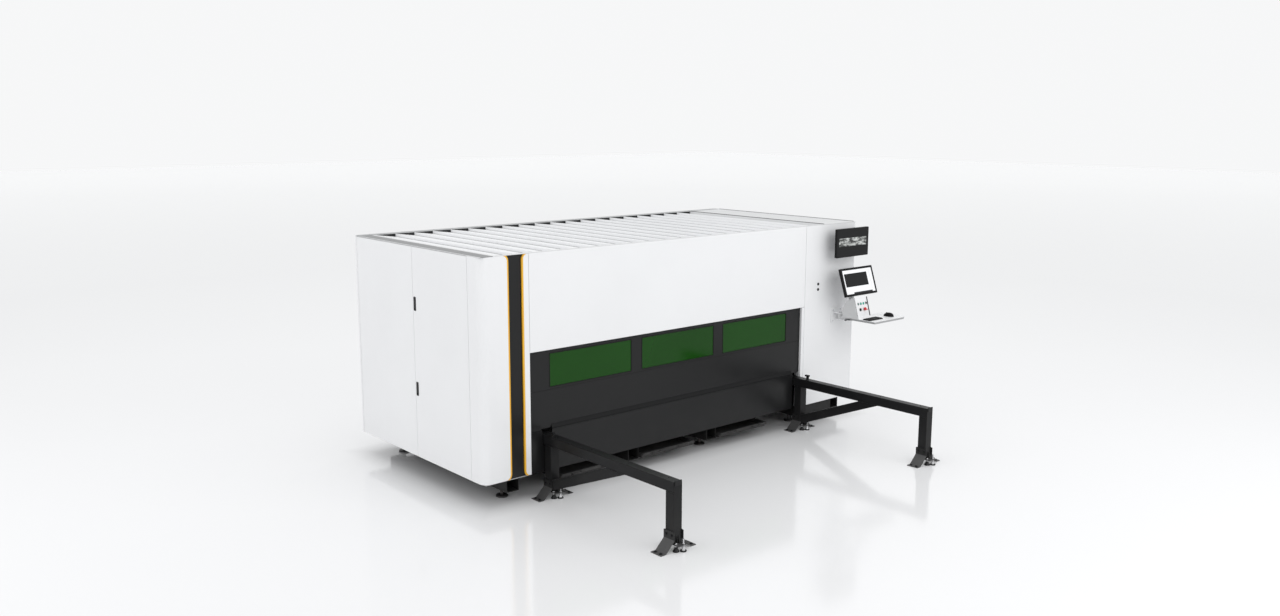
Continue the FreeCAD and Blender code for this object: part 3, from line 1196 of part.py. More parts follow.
# ---------------------------------------------------------------------------- build
def build_all():
    make_base()
    make_slag_trays()
    make_arms()
    make_corner_column()
    make_stripe()
    make_opening_strips()
    make_front_panels()
    make_rear_and_side()
    make_frame()
    make_roof()
    make_left_bay()
    make_control_cabinet()
    make_doors()
    make_wheels()
    make_table()
    make_table_front()
    make_rail_beams()
    make_gantry()
    make_cutting_head()
    make_console_arm()
    make_console()
    make_controls()
    make_desk_items()
    make_monitors()


def footprint_shift():
    """Move that puts the middle of the whole footprint at the origin."""
    bounds = Part.makeCompound(list(PARTS.values())).BoundBox
    return vec(-(bounds.XMin + bounds.XMax) / 2, -(bounds.YMin + bounds.YMax) / 2, 0)


def save_all():
    os.makedirs("parts", exist_ok=True)
    for name, shape in PARTS.items():
        shape.translate(SHIFT)
        shape.exportStep("parts/%s.step" % name)


build_all()
SHIFT = footprint_shift()
save_all()
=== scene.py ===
"""Looks of the enclosed fibre laser cutting machine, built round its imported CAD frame. Metres."""
import bpy
import bmesh
import json
from itertools import product
from math import atan, copysign, cos, exp, pi, radians, sin
from mathutils import Matrix, Vector


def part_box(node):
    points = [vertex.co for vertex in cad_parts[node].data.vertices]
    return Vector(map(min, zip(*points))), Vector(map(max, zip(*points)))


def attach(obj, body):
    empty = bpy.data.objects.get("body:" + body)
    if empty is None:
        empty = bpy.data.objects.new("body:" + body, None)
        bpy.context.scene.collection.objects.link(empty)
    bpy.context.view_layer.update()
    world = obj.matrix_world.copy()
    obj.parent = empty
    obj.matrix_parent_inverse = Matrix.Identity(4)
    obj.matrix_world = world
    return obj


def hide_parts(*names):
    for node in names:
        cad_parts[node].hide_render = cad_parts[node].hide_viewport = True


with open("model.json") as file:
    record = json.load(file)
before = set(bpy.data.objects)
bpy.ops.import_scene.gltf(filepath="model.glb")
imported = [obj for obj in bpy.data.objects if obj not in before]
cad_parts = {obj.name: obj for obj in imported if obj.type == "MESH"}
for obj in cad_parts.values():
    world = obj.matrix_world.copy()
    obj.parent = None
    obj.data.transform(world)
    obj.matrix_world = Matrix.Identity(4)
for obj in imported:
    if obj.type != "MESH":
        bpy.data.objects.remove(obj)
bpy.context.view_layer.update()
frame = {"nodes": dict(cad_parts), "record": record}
NODES = frame["nodes"]

# ---- places in the row frame
ROOF_LO, ROOF_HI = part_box("roof_rim")
MID_X = (ROOF_LO.x + ROOF_HI.x) / 2
MID_Y = (ROOF_LO.y + ROOF_HI.y) / 2
RIGHT, BACK, FRONT, UP = (1, 0, 0), (0, 1, 0), (0, -1, 0), (0, 0, 1)


def at(x, y, z):
    """A point measured from the middle of the enclosure at floor level."""
    return Vector((MID_X + x, MID_Y + y, z))


# enclosure, measured from its middle
ENC_X, ENC_Y, ENC_TOP = 2.25, 1.014, 2.005
OPEN_X0 = -1.798
PANEL_Z0 = 0.202
SKIRT_Z1 = 0.545
SHEET = 0.002
# support arms
ARM_X = (-1.676, 1.365)
ARM_TUBE = 0.082
ARM_FRONT = -2.574
POST_FRONT = -1.113
ARM_TOP = 0.515
ARM_UNDER = ARM_TOP - ARM_TUBE
LEG_BOTTOM = 0.053
BRACE_RUN = 0.922
# base and trays
TUBE_PLACES = (-1.95, -0.675, 0.282, 1.545, 2.06)
TUBE_HALF, BASE_TOP, CROSS_BEAM_DEPTH = 0.06, 0.19, 0.12
CROSS_BEAMS_Y = (-0.864, 0.744)
TRAY_PLACES = (-1.18, -0.29, 0.675)
# console
CONSOLE_X = 2.03
LOWER_SHIFT = 0.026
HOUSING_W, HOUSING_SHIFT, HOUSING_TOP = 0.205, -0.004, 1.292
FACE_FOOT_OUT, FACE_TOP_OUT = 0.335, 0.273
SHELF_TOP = 1.075
PUSH_ROW_Z, SWITCH_ROW_Z, LAMP_Z = 1.222, 1.166, 1.158
MONITOR_W, MONITOR_H, MONITOR_T, BEZEL = 0.495, 0.285, 0.024, 0.022
UPPER_FACE, UPPER_BOTTOM = -1.164, 1.680
LOWER_FACE, LOWER_BOTTOM, LOWER_TILT = -1.284, 1.304, 18.4

# camera, measured from the middle of the enclosure at floor level
CAMERA_OFFSET = Vector((-6.717, -8.035, 3.064))
CAMERA_YAW = radians(40.86)
CAMERA_PITCH = radians(9.93)
CAMERA_ROLL = radians(0.12)
CAMERA_LENS = 30.94


# ---- materials
class Shader:
    """One Principled material. Each method adds a node and gives its output."""

    def __init__(self, name, base, rough, metallic=0.0, **values):
        self.mat = bpy.data.materials.new(name)
        self.mat.use_nodes = True
        self.tree = self.mat.node_tree
        self.bsdf = self.tree.nodes["Principled BSDF"]
        self.set("Base Color", (*base, 1.0))
        self.set("Roughness", rough)
        self.set("Metallic", metallic)
        for key, value in values.items():
            self.set(key.replace("_", " "), value)
        self.coords = self.node("ShaderNodeTexCoord", "Object", {})
        self.edge_normal = None

    def feed(self, socket, value):
        """Link another node's output to a socket, or set a plain value on it."""
        if isinstance(value, bpy.types.NodeSocket):
            self.tree.links.new(value, socket)
        else:
            socket.default_value = value

    def set(self, name, value):
        """Feed one of the shader's own sockets."""
        self.feed(self.bsdf.inputs[name], value)

    def node(self, kind, out, feeds, **props):
        made = self.tree.nodes.new(kind)
        for key, value in props.items():
            setattr(made, key, value)
        for key, value in feeds.items():
            self.feed(made.inputs[key], value)
        return made.outputs[out]

    def stretched(self, scale):
        return self.node("ShaderNodeMapping", "Vector", {"Vector": self.coords, "Scale": scale})

    def noise(self, scale, detail=3.0, rough=0.5, vector=None):
        return self.node("ShaderNodeTexNoise", "Fac", {
            "Vector": vector or self.coords, "Scale": scale, "Detail": detail, "Roughness": rough})

    def remap(self, value, a, b, c=0.0, d=1.0):
        return self.node("ShaderNodeMapRange", "Result", {
            "Value": value, "From Min": a, "From Max": b, "To Min": c, "To Max": d})

    def math(self, operation, *values):
        return self.node("ShaderNodeMath", 0, dict(enumerate(values)), operation=operation)

    def blend(self, fac, a, b):
        a, b = ((*v, 1.0) if isinstance(v, tuple) else v for v in (a, b))
        return self.node("ShaderNodeMix", "Result", {"Factor": fac, "A": a, "B": b},
                         data_type="RGBA")

    def soft_edges(self, radius):
        self.edge_normal = self.node("ShaderNodeBevel", "Normal", {"Radius": radius}, samples=4)

    def bump(self, height, strength, distance):
        feeds = {"Height": height, "Strength": strength, "Distance": distance}
        if self.edge_normal is not None:
            feeds["Normal"] = self.edge_normal
        self.set("Normal", self.node("ShaderNodeBump", "Normal", feeds))

    def axis(self, name):
        """One coordinate of the surface point, in the row frame."""
        return self.node("ShaderNodeSeparateXYZ", name, {0: self.coords})

    def below_all(self, limits):
        """1 where every named coordinate is below its limit, 0 elsewhere."""
        inside = None
        for name, limit in limits.items():
            part = self.math("LESS_THAN", self.axis(name), limit)
            inside = part if inside is None else self.math("MULTIPLY", inside, part)
        return inside


def tint(color, factor):
    return tuple(min(1.0, c * factor) for c in color)


def powder_coat(name, color, rough, texture=0.10, dust=0.0, edge=0.0012, drift=0.012, masks=(),
                **values):
    """Powder-coated sheet: fine orange peel, faint tone drift, dust settling towards the floor."""
    m = Shader(name, color, rough, **values)
    patches = m.remap(m.noise(1.3, 4.0), 0.3, 0.7)
    tone = m.blend(patches, tint(color, 1 - 1.5 * drift), tint(color, 1 + drift))
    # masks paint other colours where coordinates fall below limits; some of them are painted shade
    # or painted light
    for limits, other in masks:
        tone = m.blend(m.below_all(limits), tone, other)
    if dust > 0:
        low = m.remap(m.axis("Z"), 0.0, 0.45, 1.0, 0.0)
        specks = m.remap(m.noise(7.0, 6.0, 0.65), 0.35, 0.75, 0.2, 1.0)
        grime = m.math("MULTIPLY", m.math("MULTIPLY", low, specks), dust)
        tone = m.blend(grime, tone, (0.30, 0.29, 0.27))
    m.set("Base Color", tone)
    m.set("Roughness", m.remap(m.noise(9.0, 4.0), 0.3, 0.7, rough - 0.04, rough + 0.05))
    if edge:
        m.soft_edges(edge)
    m.bump(m.noise(650.0, 2.0), texture, 0.0006)
    return m.mat


def bare_metal(name, color, rough, along=(1.0, 1.0, 1.0), grain=0.12, stain=0.0, edge=0.0008):
    """Machined or rolled metal with a grain that runs along one direction."""
    m = Shader(name, color, rough, metallic=1.0)
    lines = m.noise(160.0, 3.0, 0.6, m.stretched(along))
    tone = m.blend(m.remap(lines, 0.3, 0.7), tint(color, 0.86), tint(color, 1.08))
    if stain > 0:
        spots = m.remap(m.noise(11.0, 6.0, 0.7), 0.45, 0.75)
        patch = m.math("MULTIPLY", spots, stain)
        tone = m.blend(patch, tone, (0.16, 0.10, 0.07))
    m.set("Base Color", tone)
    m.set("Roughness", m.remap(m.noise(22.0, 4.0), 0.3, 0.7, rough - 0.06, rough + 0.10))
    if edge:
        m.soft_edges(edge)
    m.bump(lines, grain, 0.0004)
    return m.mat


def plastic(name, color, rough, grain_scale=900.0, grain=0.08, edge=0.0006, **values):
    """Moulded plastic with a fine spark-eroded grain."""
    m = Shader(name, color, rough, **values)
    cloud = m.remap(m.noise(5.0, 3.0), 0.3, 0.7)
    m.set("Base Color", m.blend(cloud, tint(color, 0.9), tint(color, 1.12)))
    m.set("Roughness", m.remap(m.noise(40.0, 3.0), 0.3, 0.7, rough - 0.04, rough + 0.06))
    if edge:
        m.soft_edges(edge)
    m.bump(m.noise(grain_scale, 2.0), grain, 0.0003)
    return m.mat


def tinted_window():
    """Green laser-safe acrylic: see-through, glossy, with faint waves."""
    color = (0.008, 0.056, 0.0045)
    m = Shader("window_green", color, 0.12, IOR=1.49, Specular_IOR_Level=0.16)
    wave = m.remap(m.noise(1.1, 2.0), 0.3, 0.7)
    m.set("Base Color", m.blend(wave, tint(color, 0.90), tint(color, 1.12)))
    m.set("Alpha", 0.95)
    m.set("Roughness", m.remap(m.noise(18.0, 4.0), 0.3, 0.7, 0.08, 0.15))
    m.bump(m.noise(3.0, 2.0), 0.05, 0.002)
    return m.mat


def screen_glass(name, color, glow, streaks=0.0):
    """Lit field of a screen; streaks gives a generic band of uneven greys."""
    m = Shader(name, color, 0.16, Specular_IOR_Level=0.1)
    tone = m.blend(m.noise(30.0, 2.0), tint(color, 0.97), tint(color, 1.03))
    if streaks > 0:
        cloud = m.noise(14.0, 5.0, 0.6, m.stretched((1.0, 1.0, 2.6)))
        uneven = m.remap(cloud, 0.42, 0.60)
        tone = m.blend(uneven, tint(color, 1 - streaks), tint(color, 1 + 2.2 * streaks))
    m.set("Base Color", tone)
    m.set("Emission Color", tone)
    m.set("Emission Strength", glow)
    return m.mat


WHITE, PALE, SEAM = (0.815, 0.82, 0.83), (0.62, 0.625, 0.63), (0.36, 0.365, 0.37)
BLACK, BAND_GREY, BAND_PALE = (0.0095, 0.0097, 0.0102), (0.21, 0.213, 0.217), (0.60, 0.605, 0.61)
ROOF_LEFT, ROOF_RIGHT = MID_X - ENC_X, MID_X + ENC_X
HOUSING_LEFT = MID_X + CONSOLE_X + HOUSING_SHIFT - HOUSING_W / 2
FLUSH = 0.0015                # a mask reaches this far past an edge
SPEC = "Specular_IOR_Level"
DIM = {SPEC: 0.24}
DARK_COAT = {"drift": 0.05, **DIM}
MATS = {"window_green": tinted_window()}


def stock(make, table):
    """Make one material per row: its name, the maker's numbers in order, then any by keyword."""
    for name, row in table.items():
        named = row[-1] if isinstance(row[-1], dict) else {}
        MATS[name] = make(name, *(value for value in row if value is not named), **named)


stock(powder_coat, {
    "enclosure_white": (WHITE, 0.34, 0.06, 0.04),
    "roof_grey": ((0.66, 0.665, 0.67), 0.45, 0.08, {"masks": (
        ({"X": ROOF_LEFT + 0.126}, BAND_GREY), ({"X": ROOF_LEFT + 0.012}, BAND_PALE),
        # painted shade: the rim's inner wall below its top, left of the right deck, is painted near
        # black in place of the shade in the roof's throat
        ({"Z": ENC_TOP - 0.0045, "X": ROOF_RIGHT - 0.475}, (0.028, 0.029, 0.031)))}),
    "roof_plain": (PALE, 0.42, 0.08),
    "seam_grey": (SEAM, 0.5, 0.05),
    "joint_grey": ((0.20, 0.202, 0.205), 0.5, 0.05, DIM),
    # near-black used as painted shade for the roof's throat
    "well_black": ((0.020, 0.021, 0.022), 0.5, 0.05, DIM),
    "panel_black": (BLACK, 0.33, 0.10, 0.03, {"drift": 0.04, **DIM}),
    "strip_black": (BLACK, 0.36, 0.10, {"drift": 0.04, SPEC: 0.10}),
    "arm_black": ((0.0105, 0.0107, 0.0112), 0.33, 0.12, 0.05, 0.003, {"drift": 0.05, SPEC: 0.14}),
    # painted light: below 88 mm (the bent plates' slopes and tabs, and the sole plates) the plates
    # are painted lighter, as if lit
    "plate_black": ((0.0085, 0.0087, 0.0092), 0.40, 0.12, 0.08,
                    {"masks": (({"Z": 0.088}, (0.062, 0.062, 0.063)),), **DARK_COAT}),
    "frame_black": ((0.0075, 0.0078, 0.008), 0.45, 0.10, 0.06, DARK_COAT),
    "tray_steel": ((0.020, 0.020, 0.021), 0.46, 0.12, 0.15, DARK_COAT),
    "motor_black": ((0.013, 0.013, 0.0145), 0.30, 0.06, {"drift": 0.04, **DIM}),
    "trim_yellow": ((0.84, 0.45, 0.030), 0.36, 0.05, {"drift": 0.03}),
    "console_white": (WHITE, 0.38, 0.08),
    "cheek_grey": (WHITE, 0.38, 0.08, {"masks": (({"X": HOUSING_LEFT + FLUSH}, PALE),)}),
    "shelf_white": (WHITE, 0.38, 0.08, {"masks": (({"Z": SHELF_TOP - FLUSH}, SEAM),)}),
    "arm_grey": (PALE, 0.40, 0.1, {"drift": 0.03}),
    "lever_grey": ((0.13, 0.13, 0.135), 0.36, 0.05),
    "cabinet_grey": ((0.50, 0.51, 0.52), 0.42, 0.1, {"drift": 0.03}),
    "source_grey": ((0.10, 0.105, 0.115), 0.4, 0.1, {"drift": 0.03}),
})
stock(bare_metal, {
    "foot_steel": ((0.62, 0.62, 0.63), 0.24, (1, 1, 6), 0.10, 0.06),
    "foot_dark": ((0.07, 0.07, 0.072), 0.40, (1, 1, 6), 0.10, 0.2),
    "bright_steel": ((0.56, 0.56, 0.57), 0.26, (0.2, 0.2, 6)),
    "slat_steel": ((0.27, 0.25, 0.235), 0.48, (6, 1, 1), 0.2, 0.55),
    "cast_alu": ((0.62, 0.63, 0.64), 0.44, (1, 1, 1), 0.15),
    "head_alu": ((0.70, 0.70, 0.72), 0.30, (1, 1, 5), 0.08),
    "screw_zinc": ((0.55, 0.55, 0.56), 0.28, (1, 1, 1), 0.05),
})
stock(plastic, {
    "wheel_nylon": ((0.03, 0.03, 0.032), 0.5),
    "monitor_black": ((0.0075, 0.0075, 0.008), 0.36, {SPEC: 0.12}),
    "key_black": ((0.0045, 0.0045, 0.005), 0.40, {SPEC: 0.14}),
    "button_teal": ((0.01, 0.36, 0.26), 0.22, 300.0, 0.02),
    "button_dim": ((0.12, 0.19, 0.17), 0.24, 300.0, 0.02),
    "stop_red": ((0.55, 0.008, 0.01), 0.26, 300.0, 0.03),
    "switch_black": ((0.010, 0.022, 0.018), 0.28),
    "lock_black": ((0.010, 0.010, 0.011), 0.36, DIM),
    "screw_black": ((0.008, 0.008, 0.009), 0.4, DIM),
    "rubber": ((0.008, 0.008, 0.008), 0.7, 500.0, 0.2, DIM),
    "lamp_diffuser": ((0.80, 0.82, 0.84), 0.4, 300.0, 0.02),
})
for entry in frame["record"]["subparts"]:
    node = NODES[entry["node"]]
    node.data.materials.clear()
    node.data.materials.append(MATS[entry["material_slot"]])
for name, finish in (("console_housing", "cheek_grey"), ("keyboard_shelf", "shelf_white"),
                     ("push_button_1", "button_dim"), ("base_feet", "foot_dark")):
    NODES[name].data.materials[0] = MATS[finish]


# ---- mesh helpers
def put_in_scene(obj):
    bpy.context.scene.collection.objects.link(obj)


def keep(bm, name, material, body, smooth=False, replaced=None):
    """Turn a bmesh into a piece that rides on a body, and may stand for a CAD node."""
    mesh = bpy.data.meshes.new(name)
    bm.normal_update()
    bm.to_mesh(mesh)
    bm.free()
    if smooth:
        mesh.shade_smooth()
        mesh.set_sharp_from_angle(angle=radians(35))
    mesh.materials.append(MATS[material] if isinstance(material, str) else material)
    obj = bpy.data.objects.new(name, mesh)
    put_in_scene(obj)
    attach(obj, body)
    if replaced:
        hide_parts(replaced)


def add_box(bm, lo, hi, bevel=0.0):
    """A box between two corners, its edges rounded off."""
    made = bmesh.ops.create_cube(bm, size=1.0)["verts"]
    size = Vector(hi) - Vector(lo)
    centre = (Vector(hi) + Vector(lo)) / 2
    for v in made:
        v.co = Vector((v.co.x * size.x, v.co.y * size.y, v.co.z * size.z)) + centre
    if bevel:
        edges = list({e for v in made for e in v.link_edges})
        bmesh.ops.bevel(bm, geom=edges, offset=bevel, segments=2, affect="EDGES", profile=0.6)


def loop(bm, place, outline, z=0.0):
    """Vertices of a flat outline at one height, put in place by a matrix."""
    return [bm.verts.new(place @ Vector((x, y, z))) for x, y in outline]


def bridge(bm, loops, capped=False):
    """Faces between neighbouring closed loops, and over the two ends where asked."""
    for low, high in zip(loops[:-1], loops[1:]):
        for k in range(len(low)):
            n = (k + 1) % len(low)
            bm.faces.new((low[k], low[n], high[n], high[k]))
    if capped:
        bm.faces.new(loops[0][::-1])
        bm.faces.new(loops[-1])


def fan(bm, ring, tip):
    """Close a ring of vertices with triangles to one point."""
    tip = bm.verts.new(tip)
    for k in range(len(ring)):
        bm.faces.new((ring[k], ring[(k + 1) % len(ring)], tip))


def corner_arcs(x0, x1, y0, y1, r, steps):
    """Four quarter circles about the corners of a rectangle, joined into one outline."""
    points = []
    for cx, cy, start in ((x1, y1, 0), (x0, y1, 90), (x0, y0, 180), (x1, y0, 270)):
        for k in range(steps + 1):
            a = radians(start + 90 * k / steps)
            points.append((cx + r * cos(a), cy + r * sin(a)))
    return points


def rounded_rect(w, h, r, steps=4):
    """Outline of a rectangle with rounded corners about the origin."""
    return corner_arcs(r - w / 2, w / 2 - r, r - h / 2, h / 2 - r, r, steps)


def moved(offset):
    """Matrix that moves by an offset."""
    return Matrix.Translation(offset)


def facing(normal):
    """Rotation that takes +Z to a direction."""
    return Vector(UP).rotation_difference(Vector(normal).normalized()).to_matrix().to_4x4()


def add_lathe(bm, profile, place, normal, sides=24):
    """Spin a profile of (radius, height) points about a direction through a place."""
    spin = moved(place) @ facing(normal)
    rings = []
    for r, h in profile:
        if r <= 1e-7:
            rings.append([bm.verts.new(spin @ Vector((0, 0, h)))])
        else:
            rings.append([bm.verts.new(spin @ Vector((r * cos(a), r * sin(a), h)))
                          for a in (2 * pi * k / sides for k in range(sides))])
    for low, high in zip(rings[:-1], rings[1:]):
        for k in range(sides):
            n = (k + 1) % sides
            if len(low) == 1:
                bm.faces.new((low[0], high[k], high[n]))
            elif len(high) == 1:
                bm.faces.new((low[k], low[n], high[0]))
            else:
                bm.faces.new((low[k], low[n], high[n], high[k]))


def hex_bolt(bm, place, normal, r):
    """Washer and hexagonal head, standing on a surface."""
    washer = ((0, 0), (1.45, 0), (1.5, 0.08), (1.5, 0.22), (1.4, 0.3), (0.9, 0.3))
    head = ((0.95, 0.3), (1, 0.35), (1, 0.85), (0.86, 0.98), (0, 1))
    for profile, sides in ((washer, 20), (head, 6)):
        add_lathe(bm, [(r * a, r * h) for a, h in profile], place, normal, sides)


def socket_screw(bm, place, normal, r):
    """Button-head screw with a hexagonal socket."""
    head = ((1, 0), (1, 0.2), (0.85, 0.5), (0.55, 0.66), (0.45, 0.66))
    socket = ((0.45, 0.66), (0.42, 0.2), (0, 0.15))
    for profile, sides in ((head, 18), (socket, 6)):
        add_lathe(bm, [(r * a, r * h) for a, h in profile], place, normal, sides)


def screw_grid(bm, xs, ys, zs, normal, r):
    """Button-head screws at every combination of the given places."""
    for x, y, z in product(xs, ys, zs):
        socket_screw(bm, at(x, y, z), normal, r)


def frame_ring(bm, lo, hi, width, y_front, y_back, corner=0.006, steps=5):
    """Rectangular ring with rounded corners in the XZ plane, and a domed front."""
    dome = (y_back - y_front) * 0.35
    loops = []
    for grow, y in ((0, y_back), (0, y_front + dome), (width * 0.2, y_front),
                    (width * 0.8, y_front), (width, y_front + dome), (width, y_back)):
        outline = corner_arcs(lo[0] + corner, hi[0] - corner, lo[1] + corner, hi[1] - corner,
                              corner + grow, steps)
        loops.append([bm.verts.new((x, y, z)) for x, z in outline])
    bridge(bm, loops)


WELD_RIPPLE, WELD_SIDES = 0.0045, 7


def weld(bm, start, end, r=0.0035):
    """Rippled fillet bead between two points."""
    start, end = Vector(start), Vector(end)
    run = end - start
    along = run.normalized()
    side = along.orthogonal().normalized()
    up = along.cross(side)
    steps = max(4, int(run.length / WELD_RIPPLE))
    rings = []
    for k in range(steps + 1):
        swell = r * (0.55 if k in (0, steps) else 1.0 + 0.16 * (k % 2))
        centre = start + run * (k / steps)
        rings.append([bm.verts.new(centre + (side * cos(a) + up * sin(a)) * swell)
                      for a in (2 * pi * j / WELD_SIDES for j in range(WELD_SIDES))])
    bridge(bm, rings, capped=True)


def prism(bm, outline, depth, place):
    """Solid with a flat outline in its own XY plane, depth thick, put in place by a matrix."""
    bridge(bm, [loop(bm, place, outline), loop(bm, place, outline, depth)], capped=True)


def basis(x_axis, y_axis, origin):
    """Matrix whose first two axes and origin are given."""
    x_axis, y_axis = Vector(x_axis).normalized(), Vector(y_axis).normalized()
    turn = Matrix((x_axis, y_axis, x_axis.cross(y_axis))).transposed().to_4x4()
    return moved(origin) @ turn


def dished_plate(bm, outline, place, depth, lip):
    """Plate with a chamfered edge: a full outline below and a slightly smaller one on top."""
    shrink = [(x - copysign(min(lip, abs(x)), x), y - copysign(min(lip, abs(y)), y))
              for x, y in outline]
    bridge(bm, [loop(bm, place, outline), loop(bm, place, outline, depth - lip),
                loop(bm, place, shrink, depth)], capped=True)


def louvre(bm, place, width, height, depth, across=8, down=4):
    """One pressed louvre: a hood that swells downwards, with its mouth at the bottom."""
    def row(y, swell, rest=0.0):
        points = []
        for i in range(across + 1):
            lift = swell * sin(pi * i / across) ** 0.35 if 0 < i < across else rest
            points.append(((i / across - 0.5) * width, y, lift if swell else rest))
        return [bm.verts.new(place @ Vector(point)) for point in points]

    rows = [row(-height * j / down, depth * sin(j / down * pi / 2))
            for j in range(down + 1)]
    base, top = row(-height * 0.97, 0, -0.0005), row(0, 0, -0.0005)
    for i in range(across):
        n = i + 1
        for low, high in zip(rows[:-1], rows[1:]):
            bm.faces.new((low[i], high[i], high[n], low[n]))
        bm.faces.new((rows[down][i], base[i], base[n], rows[down][n]))
        bm.faces.new((top[n], base[n], base[i], top[i]))
        bm.faces.new((top[i], rows[0][i], rows[0][n], top[n]))
    for side in (0, across):
        bm.faces.new([top[side]] + [line[side] for line in rows] + [base[side]])


def latch(bm, place, normal, r=0.013):
    """Quarter-turn latch: a round cup with a raised bar across it."""
    add_lathe(bm, [(r * 1.25, 0), (r * 1.25, r * 0.10), (r * 1.12, r * 0.18), (r * 0.9, r * 0.15),
                   (r * 0.86, r * 0.05), (0, r * 0.05)], place, normal, 28)
    spin = moved(place) @ facing(normal)
    dished_plate(bm, rounded_rect(r * 1.5, r * 0.34, r * 0.15, 3), spin, r * 0.3, r * 0.06)


# ---- enclosure pieces
WINDOW_LAP, WINDOW_W, WINDOW_PITCH = 0.014, 0.862, 0.989


def window_seals():
    """Rubber edge round each window of the worktable's front panel."""
    lo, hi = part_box("window_panes")
    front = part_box("table_front")[0].y
    bm = bmesh.new()
    for k in range(3):
        x0 = lo.x + WINDOW_LAP + k * WINDOW_PITCH
        frame_ring(bm, (x0, lo.z + WINDOW_LAP), (x0 + WINDOW_W, hi.z - WINDOW_LAP), 0.007,
                   front - 0.0028, front + 0.001)
    keep(bm, "window_seals", "rubber", "worktable", smooth=True)


def table_front_bolts(count=12, inset=0.05):
    """Button-head screws along the top and bottom edges of the worktable's front panel."""
    bm = bmesh.new()
    lo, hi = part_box("table_front")
    for k in range(count):
        x = lo.x + inset + (hi.x - lo.x - 2 * inset) * k / (count - 1)
        for z in (hi.z - 0.012, lo.z + 0.016):
            socket_screw(bm, (x, lo.y, z), FRONT, 0.0045)
    keep(bm, "table_front_screws", "screw_black", "worktable", smooth=True)


def apron_strip():
    """Folded strip that closes the gap between the worktable's front panel and the skirt."""
    bm = bmesh.new()
    lo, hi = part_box("table_front")
    back, front, low, high = lo.y - MID_Y, -ENC_Y + 0.0035, SKIRT_Z1 + 0.0012, lo.z + 0.030
    outline = [(front, low), (back + 0.0035, low), (back + 0.0035, high), (back - 0.0005, high),
               (back - 0.004, high - 0.014), (front + 0.003, low + 0.0075), (front, low + 0.005)]
    for x0, x1 in ((OPEN_X0 + 0.004, ARM_X[0] - 0.016),
                   (ARM_X[0] + ARM_TUBE + 0.012, ARM_X[1] - 0.012)):
        prism(bm, outline, x1 - x0, basis(BACK, UP, at(x0, 0, 0)))
    keep(bm, "apron_strip", "strip_black", "worktable")


def seam_lines():
    """Shallow joint between the window band and the lower sheet of the table's front panel."""
    bm = bmesh.new()
    lo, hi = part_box("table_front")
    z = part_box("window_panes")[0].z - 0.010
    for low in (z - 0.0028, z + 0.0018):
        add_box(bm, (lo.x + 0.004, lo.y - 0.0008, low),
                (hi.x - 0.004, lo.y + 0.001, low + 0.0010), 0.0003)
    keep(bm, "table_front_joint", "rubber", "worktable")


def panel_glands():
    """Two round black covers on the right front panel."""
    bm = bmesh.new()
    cover = [(0.0145, 0), (0.0145, 0.002), (0.013, 0.0035), (0.009, 0.004), (0.0085, 0.0015),
             (0, 0.001)]
    for z in (1.416, 1.362):
        add_lathe(bm, cover, at(1.697, -ENC_Y, z), FRONT, 28)
    keep(bm, "panel_glands", "rubber", "machine", smooth=True)


ROOF_SCREW = 0.006
BLADES, BLADE_LAP = 20, 0.010


def roof_strips():
    """Folded strip along the roof's rear edge, and the right deck with the joints beside it."""
    bm = bmesh.new()
    y0, y1, z = ENC_Y - 0.078, ENC_Y - 0.006, ENC_TOP - 0.0002
    prism(bm, [(y0, z), (y1, z), (y1, z + 0.0018), (y1 - 0.004, z + 0.0042),
               (y0 + 0.006, z + 0.0042), (y0, z + 0.0015)],
          2 * ENC_X - 0.03, basis(BACK, UP, at(-ENC_X + 0.012, 0, 0)))
    screw_grid(bm, (-ENC_X + 0.12 + k * 0.327 for k in range(14)), (ENC_Y - 0.04,),
               (ENC_TOP + 0.004,), UP, ROOF_SCREW)
    keep(bm, "roof_rear_strip", "seam_grey", "machine")
    bm = bmesh.new()
    x0, x1 = ENC_X - 0.462, ENC_X - 0.012
    dished_plate(bm, rounded_rect(x1 - x0, 2 * ENC_Y - 0.11, 0.012),
                 moved(at((x0 + x1) / 2, -0.034, z)), 0.0022, 0.0012)
    screw_grid(bm, (x0 + 0.02, x1 - 0.02), (-ENC_Y + 0.06 + k * 0.364 for k in range(6)),
               (ENC_TOP + 0.002,), UP, ROOF_SCREW)
    keep(bm, "roof_right_deck", "roof_plain", "machine")
    bm = bmesh.new()
    for x in (x0 - 0.005, ENC_X - 0.0065):
        add_box(bm, at(x - 0.004, -ENC_Y + 0.02, ENC_TOP - 0.001),
                at(x + 0.004, ENC_Y - 0.08, ENC_TOP + 0.0062), 0.001)
    keep(bm, "roof_joints", "joint_grey", "machine")


